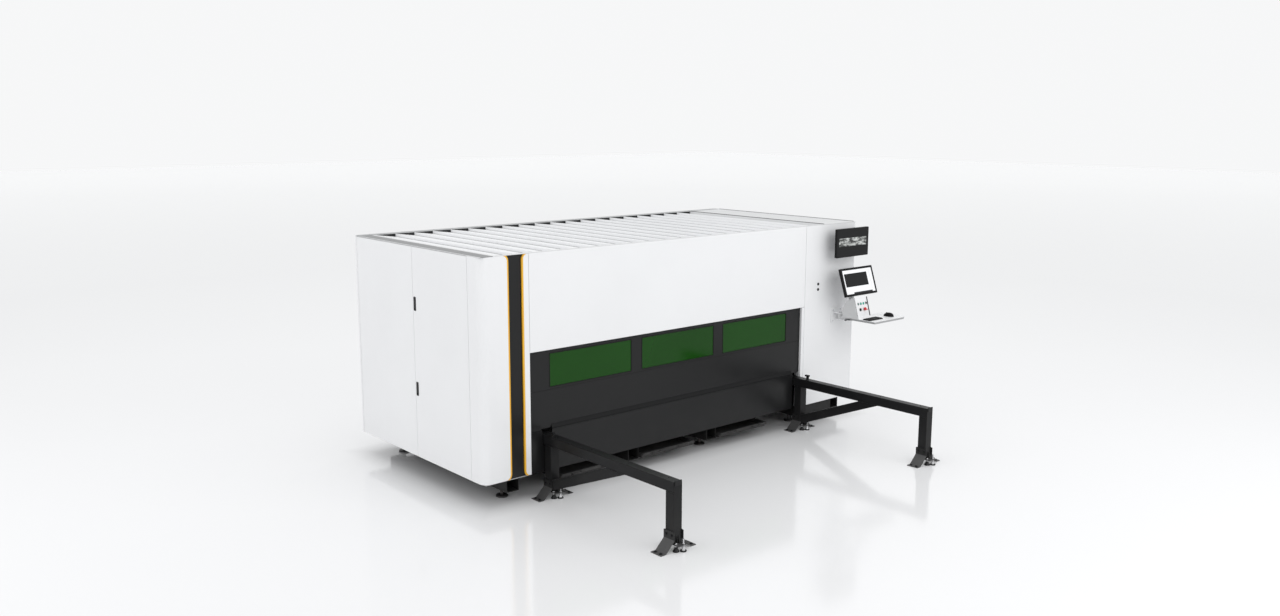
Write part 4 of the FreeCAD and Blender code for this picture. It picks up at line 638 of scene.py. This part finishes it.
def roof_blades():
    """Twenty sloping roof blades with folded high edges, resting on the ledge of the rim."""
    lo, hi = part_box("roof_louvres")
    ledge, high = lo.z + 0.0003, ENC_TOP - 0.0015
    pitch = (hi.x - lo.x - BLADE_LAP) / BLADES
    y0, length = lo.y + 0.001, hi.y - lo.y - 0.004
    drop = (high - ledge - SHEET) / (pitch + BLADE_LAP)
    bm, gap_shade_strips = bmesh.new(), bmesh.new()
    for k in range(BLADES):
        x = lo.x + k * pitch
        last = k == BLADES - 1
        foot = ledge if k == 0 else ledge + SHEET + drop * BLADE_LAP + 0.0012
        end = pitch + BLADE_LAP - (0.001 if last else 0.0)
        fall = ledge + 0.0005 if last else ledge
        outline = [(0, foot), (SHEET, foot), (SHEET, high - 0.0035), (0.006, high - 0.0045),
                   (end, fall), (end, fall + SHEET), (0.007, high - 0.0010), (0.0045, high),
                   (0.0015, high), (0, high - 0.0012)]
        prism(bm, outline, length, basis(RIGHT, UP, Vector((x, y0 + length, 0))))
        if k > 0:
            # painted shade: thin grey strips at the foot of each blade's step stand in for the
            # shaded gap there
            add_box(gap_shade_strips, (x - 0.0045, y0 + 0.002, foot - 0.0010),
                    (x + 0.0003, y0 + length - 0.002, foot + 0.0016), 0.0004)
    keep(bm, "roof_blades", "enclosure_white", "machine",
         replaced="roof_louvres")
    keep(gap_shade_strips, "roof_blade_gap_shades", "seam_grey", "machine")
    # painted shade: a near-black sheet behind the blades' rear ends stands in for the shade in the
    # roof's throat
    throat_shade_sheet = bmesh.new()
    top = ENC_TOP - 0.0012
    prism(throat_shade_sheet, [(lo.x, ledge), (hi.x, ledge), (hi.x, top), (lo.x, top)], 0.0016,
          basis(RIGHT, UP, Vector((0, hi.y + 0.0002, 0))))
    keep(throat_shade_sheet, "roof_throat_shade_sheet", "well_black", "machine")


def door_gasket(y=0.0110, half=0.0012):
    """Rubber lip in the seam between the two door leaves."""
    bm = bmesh.new()
    x = -ENC_X + 0.004
    add_box(bm, at(x, y - half, PANEL_Z0 + 0.006), at(x + 0.018, y + half, ENC_TOP - 0.014), 0.0004)
    keep(bm, "door_gasket", "rubber", "machine")


def back_vents():
    """Pressed louvres and quarter-turn latches on the three back panels and the right side."""
    hoods, latches = bmesh.new(), bmesh.new()

    def vent(across, x, y, z, width):
        for row in range(9):
            place = basis(across, UP, at(x, y, z - row * 0.034))
            louvre(hoods, place, width, 0.022, 0.009)

    third = (2 * ENC_X - 0.006) / 3
    for k in range(3):
        x0 = -ENC_X + k * (third + 0.003)
        for share in (0.27, 0.73):
            vent((-1, 0, 0), x0 + third * share, ENC_Y, 0.62, 0.34)
        for x in (x0 + 0.045, x0 + third - 0.045):
            for z in (0.30, 0.92, 1.54, 1.92):
                latch(latches, at(x, ENC_Y, z), (0, 1, 0))
    vent((0, 1, 0), ENC_X, 0.0, 1.72, 0.40)
    for y in (-0.93, -0.31, 0.31, 0.93):
        for z in (0.26, 1.94):
            latch(latches, at(ENC_X, y, z), (1, 0, 0))
    keep(hoods, "vent_louvres", "enclosure_white", "machine", smooth=True)
    keep(latches, "panel_latches", "lock_black", "machine", smooth=True)


def interior_lights():
    """Strip lights under the front header and the rear top tube, inside the cutting room."""
    bodies, covers = bmesh.new(), bmesh.new()
    for y in (-0.925, 0.925):
        for x in (-1.25, -0.16, 0.93):
            add_box(bodies, at(x - 0.30, y - 0.022, 1.862), at(x + 0.30, y + 0.022, 1.894), 0.004)
            add_box(covers, at(x - 0.285, y - 0.017, 1.852), at(x + 0.285, y + 0.017, 1.864),
                    0.005)
    keep(bodies, "strip_light_bodies", "cabinet_grey", "machine")
    keep(covers, "strip_light_covers", "lamp_diffuser", "machine", smooth=True)


RAIL_PITCH = 0.12


def rail_screws():
    """Counterbored screws down the long rails, bolts on the trucks, plates on the beam's ends."""
    bm = bmesh.new()
    lo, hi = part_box("gantry_rails")
    bore = [(0.0065, 0), (0.0065, 0.0006), (0.0055, 0.0009), (0.0035, 0.0009), (0.003, -0.001),
            (0, -0.001)]
    for y in (lo.y + 0.015, hi.y - 0.015):
        for k in range(int((hi.x - lo.x) / RAIL_PITCH)):
            spot = (lo.x + (k + 0.5) * RAIL_PITCH, y, hi.z)
            add_lathe(bm, bore, spot, UP, 14)
    keep(bm, "rail_screws", "screw_zinc", "machine", smooth=True)
    bm = bmesh.new()
    lo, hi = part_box("gantry_trucks")
    for y in (lo.y + 0.05, hi.y - 0.05):
        for x in (lo.x + 0.02, lo.x + 0.07, hi.x - 0.07, hi.x - 0.02):
            for dy in (-0.025, 0.025):
                hex_bolt(bm, (x, y + dy, hi.z), UP, 0.006)
    lo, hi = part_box("gantry_beam")
    for y, side in ((lo.y, -1), (hi.y, 1)):
        place = basis((-side, 0, 0), UP, ((lo.x + hi.x) / 2, y, (lo.z + hi.z) / 2))
        dished_plate(bm, rounded_rect(0.138, 0.178, 0.008),
                     place @ Matrix.Rotation(pi, 4, "Y"), 0.0045, 0.001)
    keep(bm, "gantry_bolts_and_end_plates", "screw_zinc", "gantry", smooth=True)


# ---- arms and base
ANCHOR_T, ANCHOR_W, ANCHOR_RISE, ANCHOR_FLANGE = 0.006, 0.110, 0.080, 0.066
ANCHOR_OUT, ANCHOR_TAB = 0.082, 0.048
SOLE_LOW = LEG_BOTTOM - 0.008


def bent_strip(bm, points, thickness, width, place):
    """Sheet bent along a line of (out, up) points, thickness to its left, width across."""
    offsets = []
    for k, (u, v) in enumerate(points):
        before = Vector(points[k]) - Vector(points[max(k - 1, 0)])
        after = Vector(points[min(k + 1, len(points) - 1)]) - Vector(points[k])
        run = (before.normalized() + after.normalized()).normalized()
        offsets.append((u - run.y * thickness, v + run.x * thickness))
    prism(bm, list(points) + offsets[::-1], width, place)


def anchor_line(steps=4, radius=0.010):
    """Inner line of a bent floor plate: flange, rounded bend, slope, rounded bend, floor tab."""
    corners = [(0.0, ANCHOR_RISE + ANCHOR_FLANGE), (0.0, ANCHOR_RISE), (ANCHOR_OUT, 0.0),
               (ANCHOR_OUT + ANCHOR_TAB, 0.0)]
    line = [corners[0]]
    for before, corner, after in zip(corners[:-2], corners[1:-1], corners[2:]):
        a = Vector(corner) + (Vector(before) - Vector(corner)).normalized() * radius
        b = Vector(corner) + (Vector(after) - Vector(corner)).normalized() * radius
        for k in range(steps + 1):
            t = k / steps
            line.append(tuple(a * (1 - t) ** 2 + Vector(corner) * (2 * t * (1 - t)) + b * t ** 2))
    return line + [corners[-1]]


def arm_plates():
    """Bent floor plates, sole plates, end tabs and stops of the two support arms."""
    bm = bmesh.new()
    for x, arm_side in zip(ARM_X, (-1, 1)):
        xb = x + ARM_TUBE
        for y in (ARM_FRONT, POST_FRONT):
            for face, side in ((x, -1), (xb, 1)):
                corner = at(face, y + (ARM_TUBE + side * ANCHOR_W) / 2, 0)
                place = basis((side, 0, 0), UP, corner)
                bent_strip(bm, anchor_line(), ANCHOR_T, ANCHOR_W, place)
            add_box(bm, at(x + 0.004, y - 0.052, SOLE_LOW),
                    at(xb - 0.004, y + ARM_TUBE - 0.004, LEG_BOTTOM), 0.0012)
        outer = x if arm_side < 0 else xb
        for reach, y0, y1, z0, z1 in ((0.019, -0.031, -0.009, 0.0, 0.022),
                                      (0.027, -0.042, 0.002, 0.0215, 0.036)):
            left, right = sorted((outer, outer - arm_side * reach))
            add_box(bm, at(left, POST_FRONT + y0, ARM_TOP + z0),
                    at(right, POST_FRONT + y1, ARM_TOP + z1), 0.0018)
        add_box(bm, at(x + 0.008, ARM_FRONT - 0.006, ARM_TOP - 0.030),
                at(xb - 0.008, ARM_FRONT, ARM_TOP + 0.008), 0.0015)
    keep(bm, "arm_bent_plates", "plate_black", "machine", replaced="arm_plates")


THREAD_STEP = 0.0012
STUD_NUT = ((0.0060, 0), (0.0098, 0), (0.0112, 0.001), (0.0112, 0.006), (0.0098, 0.007),
            (0.0060, 0.007))


def arm_feet():
    """Levelling feet of the arms: black cones and steel bells on threaded studs with nuts."""
    cones, steel = bmesh.new(), bmesh.new()
    tall_cone = [(0, 0), (0.0245, 0), (0.0250, 0.002), (0.0245, 0.007), (0.0205, 0.013),
                 (0.0135, 0.026), (0.0125, 0.031), (0.0095, 0.033), (0, 0.033)]
    pad = [(0, 0), (0.0245, 0), (0.0250, 0.002), (0.0245, 0.0065), (0.0225, 0.0085), (0, 0.0085)]
    bell = [(0.0150, 0.0080), (0.0150, 0.0105), (0.0125, 0.0160), (0.0105, 0.0260),
            (0.0095, 0.0350), (0.0080, 0.0360), (0, 0.0360)]
    for x in ARM_X:
        for y in (ARM_FRONT, POST_FRONT):
            left, right = at(x + 0.016, y - 0.013, 0), at(x + ARM_TUBE - 0.020, y - 0.040, 0)
            add_lathe(cones, tall_cone, left, UP, 32)
            add_lathe(cones, pad, right, UP, 32)
            add_lathe(steel, bell, right, UP, 32)
            for centre, low, tall in ((left, 0.031, 0.064), (right, 0.034, 0.094)):
                thread = [(0.0068 if k % 2 else 0.0058, low + THREAD_STEP * k)
                          for k in range(int((tall - low) / THREAD_STEP))]
                add_lathe(steel, thread + [(0.0045, tall), (0, tall)], centre, UP, 16)
                for foot in (SOLE_LOW - 0.0075, LEG_BOTTOM + 0.0005):
                    nut = [(r, foot + h) for r, h in STUD_NUT]
                    add_lathe(steel, nut, centre, UP, 6)
    keep(cones, "arm_feet_cones", "lock_black", "machine", smooth=True,
         replaced="arm_levelling_feet")
    keep(steel, "arm_feet_studs", "bright_steel", "machine", smooth=True)


THIN_BEAD = 0.0022


def arm_details():
    """Bolts, ribs and weld beads of the two support arms."""
    bolts, ribs, welds = bmesh.new(), bmesh.new(), bmesh.new()
    brace_foot = LEG_BOTTOM + 0.009
    slope = (ARM_UNDER - brace_foot) / BRACE_RUN
    depth = ARM_TUBE / cos(atan(slope))
    tip, upper = POST_FRONT - BRACE_RUN, POST_FRONT - (ARM_UNDER - brace_foot - depth) / slope
    rib_foot = LEG_BOTTOM + 0.001
    rib = [(0, rib_foot), (0, 0.112), (0.003, 0.112), (0.013, rib_foot + 0.005), (0.013, rib_foot)]

    def across(x, y, z, inset=0.004, r=0.0035):
        weld(welds, at(x + inset, y, z), at(x + ARM_TUBE - inset, y, z), r)

    for x in ARM_X:
        sides = (x, x + ARM_TUBE)
        for y in (ARM_FRONT, POST_FRONT):
            rear = y + ARM_TUBE
            for face, out in zip(sides, (-1, 1)):
                for dy in (-0.028, 0.028):
                    spot = y + ARM_TUBE / 2 + dy
                    hex_bolt(bolts, at(face + out * 0.108, spot, ANCHOR_T), UP, 0.009)
                    hex_bolt(bolts, at(face + out * ANCHOR_T, spot, 0.118), (out, 0, 0), 0.008)
                weld(welds, at(face + out * 0.003, y - 0.006, 0.1465),
                     at(face + out * 0.003, y + 0.088, 0.1465))
                weld(welds, at(face, y + 0.004, ARM_UNDER), at(face, rear - 0.004, ARM_UNDER),
                     THIN_BEAD)
            for dx in (0.030, 0.048):
                prism(ribs, rib, 0.005, basis(FRONT, UP, at(x + dx + 0.0025, y, 0)))
            across(x, rear, ARM_UNDER)
            across(x, y, LEG_BOTTOM, 0.006, 0.003)
        for y, z in ((POST_FRONT, ARM_UNDER), (tip, ARM_UNDER), (upper, ARM_UNDER),
                     (POST_FRONT, brace_foot + depth)):
            across(x, y, z)
        for face in sides:
            weld(welds, at(face, tip + 0.004, ARM_UNDER), at(face, upper - 0.004, ARM_UNDER),
                 THIN_BEAD)
            weld(welds, at(face, POST_FRONT, brace_foot + 0.004),
                 at(face, POST_FRONT, brace_foot + depth - 0.004), THIN_BEAD)
        screw_grid(bolts, (x + ARM_TUBE / 2,), (ARM_FRONT + 0.10 + 0.44 * k for k in range(4)),
                   (ARM_TOP,), UP, 0.005)
    keep(bolts, "arm_bolts", "screw_black", "machine", smooth=True)
    keep(ribs, "arm_foot_ribs", "arm_black", "machine")
    keep(welds, "arm_welds", "arm_black", "machine", smooth=True)


def tray_pulls():
    """Two round-bar pulls on the front of each slag tray."""
    leg = [(0.0075, 0), (0.0075, 0.002), (0.0045, 0.003), (0.0045, 0.024), (0.003, 0.027),
           (0, 0.027)]
    bar = [(0, -0.0545), (0.0035, -0.0535), (0.0045, -0.051), (0.0045, 0.051), (0.0035, 0.0535),
           (0, 0.0545)]
    for name, x in zip(("left", "middle", "right"), TRAY_PLACES):
        bm = bmesh.new()
        lo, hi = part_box(name + "_slag_tray")
        front, z = lo.y - MID_Y, hi.z - 0.012
        for centre in (x - 0.16, x + 0.16):
            for dx in (-0.05, 0.05):
                add_lathe(bm, leg, at(centre + dx, front, z), FRONT, 12)
            add_lathe(bm, bar, at(centre, front - 0.0225, z), (1, 0, 0), 12)
        keep(bm, name + "_tray_pulls", "tray_steel", "tray_" + name, smooth=True)


def base_welds():
    """Weld beads where the cross beams and posts meet the base tubes."""
    bm = bmesh.new()
    for left, right in zip(TUBE_PLACES[:-1], TUBE_PLACES[1:]):
        for x in (left + TUBE_HALF, right - TUBE_HALF):
            for y in CROSS_BEAMS_Y:
                for side in (y, y + CROSS_BEAM_DEPTH):
                    weld(bm, at(x, side, BASE_TOP - 0.048), at(x, side, BASE_TOP - 0.002), 0.003)
                weld(bm, at(x, y + 0.004, BASE_TOP),
                     at(x, y + CROSS_BEAM_DEPTH - 0.004, BASE_TOP), 0.003)
    keep(bm, "base_welds", "frame_black", "machine", smooth=True)


# ---- console
SLOPE = atan((FACE_FOOT_OUT - FACE_TOP_OUT) / (HOUSING_TOP - SHELF_TOP))
FACE_LENGTH = (HOUSING_TOP - SHELF_TOP) / cos(SLOPE)
FACE_MID_X = CONSOLE_X + HOUSING_SHIFT
LIP_R = 0.022
KEY_FOOT, KEY_TOP, KEY_DISH = 0.0086, 0.0124, 0.0117
MONITORS = {
    "upper": moved(at(CONSOLE_X, UPPER_FACE, UPPER_BOTTOM)),
    "lower": (moved(at(CONSOLE_X + LOWER_SHIFT, LOWER_FACE, LOWER_BOTTOM))
              @ Matrix.Rotation(radians(-LOWER_TILT), 4, "X")),
}


def slope_place(u, v):
    """Matrix on the console's sloping face: X to the right, Y up the slope, Z out of it."""
    up = Vector((0, sin(SLOPE), cos(SLOPE)))
    origin = at(FACE_MID_X + u, -ENC_Y - FACE_FOOT_OUT, SHELF_TOP) + up * v
    return basis(RIGHT, up, origin)


def on_face(bm, profile, u, z, sides):
    """Spin a profile on the sloping face, at a distance from its middle and a height."""
    place = slope_place(u, (z - SHELF_TOP) / cos(SLOPE))
    add_lathe(bm, profile, place.translation, place.to_3x3() @ Vector(UP), sides)


def console_face():
    """Edge trims of the control face, its swept lower lip, the button rings and a red lamp."""
    half = HOUSING_W / 2
    dark = bmesh.new()
    prism(dark, rounded_rect(0.013, FACE_LENGTH - 0.034, 0.003), 0.0016,
          slope_place(half - 0.012, FACE_LENGTH / 2 + 0.006))
    prism(dark, rounded_rect(0.0024, FACE_LENGTH - 0.010, 0.001), 0.0012,
          slope_place(-half + 0.0030, FACE_LENGTH / 2))
    keep(dark, "console_face_trims", "monitor_black", "console")
    lip = bmesh.new()
    arc = [(LIP_R * (1 - sin(a)), LIP_R * (1 - cos(a)))
           for a in (radians(15 * k) for k in range(7))]
    outline = [(-0.009, 0.0)] + [(0.002 + out, up) for out, up in arc] + [(-0.009, LIP_R)]
    corner = at(FACE_MID_X + half - 0.0005, -ENC_Y - FACE_FOOT_OUT, SHELF_TOP)
    prism(lip, outline, HOUSING_W - 0.0015, basis(FRONT, UP, corner))
    keep(lip, "console_lower_lip", "console_white", "console", smooth=True)
    rings = bmesh.new()
    buttons = [("push_button_%d" % k, 0.0115, PUSH_ROW_Z) for k in (1, 2, 3, 4)]
    buttons += [("mode_switch", 0.0140, SWITCH_ROW_Z), ("emergency_stop", 0.0130, SWITCH_ROW_Z)]
    for name, r, z in buttons:
        lo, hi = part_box(name)
        ring = [(r, -0.0005), (r, 0.0016), (r + 0.0012, 0.0024), (r + 0.0030, 0.0018),
                (r + 0.0034, -0.0005)]
        on_face(rings, ring, (lo.x + hi.x) / 2 - MID_X - FACE_MID_X, z, 28)
    keep(rings, "button_rings", "screw_zinc", "console", smooth=True)
    red = bmesh.new()
    dome = [(0.0060, -0.0005), (0.0060, 0.002), (0.0045, 0.0045), (0.002, 0.0056), (0, 0.006)]
    on_face(red, dome, half - 0.036, LAMP_Z, 18)
    keep(red, "alarm_lamp", "stop_red", "console", smooth=True)


def keyboard():
    """Low keyboard with six rows of tapered, dished keycaps."""
    lo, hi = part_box("keyboard")
    bm = bmesh.new()
    w, d = hi.x - lo.x - 0.060, hi.y - lo.y - 0.014
    lo.x, hi.y = lo.x + 0.006, hi.y - 0.010
    centre = Vector((lo.x + w / 2, hi.y - d / 2, lo.z + 0.0003))
    dished_plate(bm, rounded_rect(w, d, 0.007), moved(centre), 0.0085, 0.0018)
    rows = ((1,) * 15, (1,) * 13 + (2,), (1.5,) + (1,) * 12 + (1.5,), (1.75,) + (1,) * 11 + (2.25,),
            (2.25,) + (1,) * 10 + (2.75,), (1.25, 1.25, 1.25, 6.25, 1.25, 1.25, 2.5))
    pitch_x, pitch_y = (w - 0.012) / 15, (d - 0.012) / 6
    for j, row in enumerate(rows):
        x = lo.x + 0.006
        y = hi.y - 0.006 - (j + 0.5) * pitch_y
        for size in row:
            cap = size * pitch_x
            base = rounded_rect(cap - 0.0012, pitch_y - 0.0012, 0.0012, 1)
            top = rounded_rect(cap - 0.0046, pitch_y - 0.0046, 0.0012, 1)
            cx = x + cap / 2
            place = moved((cx, y, lo.z))
            loops = [loop(bm, place, base, KEY_FOOT), loop(bm, place, top, KEY_TOP)]
            bridge(bm, loops)
            fan(bm, loops[1], (cx, y, lo.z + KEY_DISH))
            bm.faces.new(loops[0][::-1])
            x += cap
    keep(bm, "keyboard_with_keys", "key_black", "console", replaced="keyboard")


def mouse():
    """Mouse with a rounded back, a split between its buttons and a scroll wheel."""
    lo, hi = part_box("mouse")
    half_w, half_l, height = (hi.x - lo.x) / 2, (hi.y - lo.y) / 2, hi.z - lo.z
    cx, cy = (lo.x + hi.x) / 2, (lo.y + hi.y) / 2
    bm = bmesh.new()
    rings, around, levels = [], 48, 12
    for j in range(levels):
        phi = (j / levels) * pi / 2
        reach = 0.94 + 0.06 * sin(pi * j / 3) if j < 3 else cos(phi) ** 0.62
        ring = []
        for k in range(around):
            c, s = cos(2 * pi * k / around), sin(2 * pi * k / around)
            x = half_w * reach * copysign(abs(c) ** 0.8, c)
            y = half_l * reach * copysign(abs(s) ** 0.85, s)
            waist = 1.0 - 0.07 * exp(-((y / half_l) / 0.35) ** 2)
            z = height * sin(phi) * (1.0 - 0.16 * (y / half_l + 0.12) ** 2)
            if abs(x) < 0.0012 and y > half_l * 0.1 and j > 2:
                z -= 0.0009
            spot = (cx + x * waist, cy + y - 0.05 * half_l * sin(phi), lo.z + z)
            ring.append(bm.verts.new(spot))
        rings.append(ring)
    bridge(bm, rings)
    fan(bm, rings[-1], (cx, cy - 0.05 * half_l, lo.z + height * 0.997))
    bm.faces.new(rings[0][::-1])
    keep(bm, "mouse_shell", "key_black", "console", smooth=True, replaced="mouse")
    wheel = bmesh.new()
    tyre = [(0, -0.0035), (0.009, -0.0035), (0.011, -0.002), (0.0113, 0), (0.011, 0.002),
            (0.009, 0.0035), (0, 0.0035)]
    add_lathe(wheel, tyre, (cx, cy + half_l * 0.42, lo.z + height * 0.72), (1, 0, 0), 24)
    keep(wheel, "mouse_wheel", "rubber", "console", smooth=True)


def screens():
    """Lit screens with plain generic fields, upper one dark and lower one light."""
    w, h = MONITOR_W - 2 * BEZEL, MONITOR_H - 2 * BEZEL
    # name, colour, glow, field as shares of the screen, strength of the streaks
    upper = (("dark_field", (0.013, 0.013, 0.0135), 0.12, (-0.024, -0.045, 1.024, 1.045), 0.0),
             ("band_field", (0.17, 0.175, 0.17), 0.30, (0.03, 0.36, 0.97, 0.70), 0.75))
    lower = (("page_field", (0.80, 0.81, 0.82), 0.13, (0.0, 0.0, 1.0, 1.0), 0.0),
             ("work_field", (0.014, 0.0145, 0.015), 0.12, (0.035, 0.30, 0.815, 0.855), 0.0),
             ("rule_field", (0.50, 0.51, 0.52), 0.2, (0.905, 0.12, 0.912, 0.93), 0.0),
             ("bar_field", (0.03, 0.031, 0.033), 0.12, (0.25, 0.0, 0.90, 0.060), 0.0))
    for key, sunk, fields in (("upper", 0.0, upper), ("lower", 0.0014, lower)):
        corner = MONITORS[key] @ moved((BEZEL - MONITOR_W / 2, sunk, BEZEL))
        for k, (name, color, glow, (u0, v0, u1, v1), streaks) in enumerate(fields):
            bm = bmesh.new()
            outline = [((u - 0.5) * (u1 - u0) * w, (v - 0.5) * (v1 - v0) * h)
                       for u, v in ((0, 0), (1, 0), (1, 1), (0, 1))]
            middle = moved(((u0 + u1) / 2 * w, 0.0002, (v0 + v1) / 2 * h))
            dished_plate(bm, outline, corner @ middle @ Matrix.Rotation(pi / 2, 4, "X"),
                         0.0003 * (k + 1) + 0.0002, 0.0001)
            name = key + "_" + name
            keep(bm, name, screen_glass(name, color, glow, streaks), "monitor_" + key)


def monitor_backs():
    """Vent slots and four mounting screws on the back of each monitor."""
    for key, place in MONITORS.items():
        slots, screws = bmesh.new(), bmesh.new()
        for k in range(11):
            for side in (-1, 1):
                spot = moved((side * (0.14 + 0.008 * k), MONITOR_T, MONITOR_H * 0.72))
                dished_plate(slots, rounded_rect(0.0028, 0.05, 0.001, 2),
                             place @ spot @ Matrix.Rotation(-pi / 2, 4, "X"), 0.0012, 0.0004)
        for dx in (-0.05, 0.05):
            for dz in (-0.05, 0.05):
                centre = place @ Vector((dx, MONITOR_T + 0.010, MONITOR_H / 2 + dz))
                socket_screw(screws, centre, place.to_3x3() @ Vector((0, 1, 0)), 0.004)
        keep(slots, key + "_monitor_vents", "rubber", "monitor_" + key)
        keep(screws, key + "_monitor_screws", "screw_zinc", "monitor_" + key, smooth=True)


def bracket_details():
    """Bolts on the two wall brackets, and a clamp lever on the console arm."""
    bm = bmesh.new()
    x = CONSOLE_X - 0.045
    screw_grid(bm, (x - 0.06, x + 0.06), (-ENC_Y - 0.014,), (1.020, 1.128), FRONT, 0.0065)
    pin_nut = [(0.016, 0), (0.016, 0.006), (0.012, 0.009), (0.012, 0.010), (0, 0.010)]
    add_lathe(bm, pin_nut, at(x, -ENC_Y - 0.061, 1.105), UP, 6)
    mid = UPPER_BOTTOM + MONITOR_H / 2
    screw_grid(bm, (CONSOLE_X - 0.045, CONSOLE_X + 0.045), (-ENC_Y - 0.005,),
               (mid - 0.045, mid + 0.045), FRONT, 0.006)
    keep(bm, "bracket_bolts", "screw_zinc", "machine", smooth=True)
    bm = bmesh.new()
    x, y = CONSOLE_X - 0.040, -ENC_Y - 0.186
    collar = [(0.0285, 0), (0.0305, 0.002), (0.0305, 0.010), (0.0285, 0.012), (0.028, 0.012),
              (0.028, 0)]
    lever = [(0.006, 0), (0.006, 0.03), (0.009, 0.034), (0.010, 0.052), (0.007, 0.058), (0, 0.059)]
    add_lathe(bm, collar, at(x, y, 1.046), UP, 32)
    add_lathe(bm, lever, at(x - 0.029, y, 1.052), (-1, 0, 0), 20)
    keep(bm, "arm_clamp", "lever_grey", "swing_arm", smooth=True)


for build in (window_seals, table_front_bolts, apron_strip, seam_lines, panel_glands, roof_strips,
              roof_blades, door_gasket, back_vents, interior_lights, rail_screws, arm_plates,
              arm_feet, arm_details, tray_pulls, base_welds, console_face, keyboard, mouse, screens,
              monitor_backs, bracket_details):
    build()


# ---- stage and camera
# the third value is the strength of the floor's painted glow (painted light) round the machine
FLOOR_HALF, FLOOR_ROUGH, FLOOR_PAINTED_GLOW = 60.0, 0.11, 0.13
FLOOR_BASE, FLOOR_TONES = (0.68, 0.682, 0.69), ((0.675, 0.677, 0.685), (0.685, 0.687, 0.695))
FLOOR_NEAR, FLOOR_MIDDLE, FLOOR_FAR = 4.5, 13.0, 45.0
FOOTPRINT_EDGE = (("X", 2.15, 2.40), ("Y", 0.95, 1.20))
AIM = at(0, 0, 0.9)
# light: place, size, power
LIGHTS = {"key_light": (at(1.0, -8.5, 4.5), (9.0, 5.0), 205),
          "side_light": (at(-9.0, 0.5, 4.0), (7.0, 5.0), 105),
          "top_light": (at(0, 0, 7.5), (8.0, 6.0), 70)}
LIGHT_GLOSS = 0.06


def make_stage():
    """Pale, slightly glossy floor that glows faintly round the machine as painted light, with no
    glow under it; its colour is darker near the machine and paler far off.
    """
    floor_bm = bmesh.new()
    bmesh.ops.create_grid(floor_bm, x_segments=1, y_segments=1, size=FLOOR_HALF)
    mesh = bpy.data.meshes.new("studio_floor")
    floor_bm.to_mesh(mesh)
    floor_bm.free()
    m = Shader("studio_floor", FLOOR_BASE, FLOOR_ROUGH, Specular_IOR_Level=0.5)
    reach = m.node("ShaderNodeVectorMath", "Value", {0: m.coords}, operation="LENGTH")
    near = m.remap(reach, FLOOR_NEAR, FLOOR_MIDDLE, 1.0, 0.0)
    far = m.remap(reach, FLOOR_MIDDLE, FLOOR_FAR)
    beside = m.math("MAXIMUM", *(m.remap(m.math("ABSOLUTE", m.axis(axis)), start, end)
                                 for axis, start, end in FOOTPRINT_EDGE))
    tone = m.blend(m.noise(0.35, 2.0), FLOOR_TONES[0], FLOOR_TONES[1])
    m.set("Base Color", m.blend(near, m.blend(far, (0.84, 0.842, 0.85), (0.93, 0.932, 0.94)), tone))
    # painted light: emission lifts the floor round the machine; the footprint mask keeps it off
    # under the machine
    painted_glow_share = m.math("MULTIPLY", beside, near)
    m.set("Emission Color", m.blend(painted_glow_share, (0.0, 0.0, 0.0), (0.97, 0.975, 0.98)))
    m.set("Emission Strength", FLOOR_PAINTED_GLOW)
    mesh.materials.append(m.mat)
    floor = bpy.data.objects.new("studio_floor", mesh)
    floor.location = (MID_X, MID_Y, -0.0005)
    put_in_scene(floor)


def area_light(name, place, size, power):
    """Soft rectangular light aimed at the middle of the machine."""
    light = bpy.data.lights.new(name, "AREA")
    light.shape = "RECTANGLE"
    light.size, light.size_y = size
    light.energy = power
    light.specular_factor = LIGHT_GLOSS
    obj = bpy.data.objects.new(name, light)
    obj.location = place
    obj.rotation_euler = (AIM - place).to_track_quat("-Z", "Y").to_euler()
    put_in_scene(obj)


def make_lights():
    """Even pale surroundings and the three soft lights."""
    world = bpy.data.worlds.new("studio")
    world.use_nodes = True
    background = world.node_tree.nodes["Background"]
    background.inputs["Color"].default_value = (0.955, 0.96, 0.965, 1.0)
    background.inputs["Strength"].default_value = 0.97
    bpy.context.scene.world = world
    for name, settings in LIGHTS.items():
        area_light(name, *settings)


def make_camera():
    """Camera at the studio viewpoint, with no shift and no depth of field."""
    data = bpy.data.cameras.new("photo_camera")
    data.sensor_width = 36.0
    data.lens = CAMERA_LENS
    data.clip_end = 200.0
    camera = bpy.data.objects.new("photo_camera", data)
    forward = Vector((sin(CAMERA_YAW) * cos(CAMERA_PITCH),
                      cos(CAMERA_YAW) * cos(CAMERA_PITCH), -sin(CAMERA_PITCH)))
    turn = forward.to_track_quat("-Z", "Y").to_matrix().to_4x4()
    camera.matrix_world = (moved(at(0, 0, 0) + CAMERA_OFFSET) @ turn
                           @ Matrix.Rotation(CAMERA_ROLL, 4, "Z"))
    put_in_scene(camera)
    bpy.context.scene.camera = camera


make_stage()
make_lights()
make_camera()
bpy.context.scene.view_settings.view_transform = "Standard"
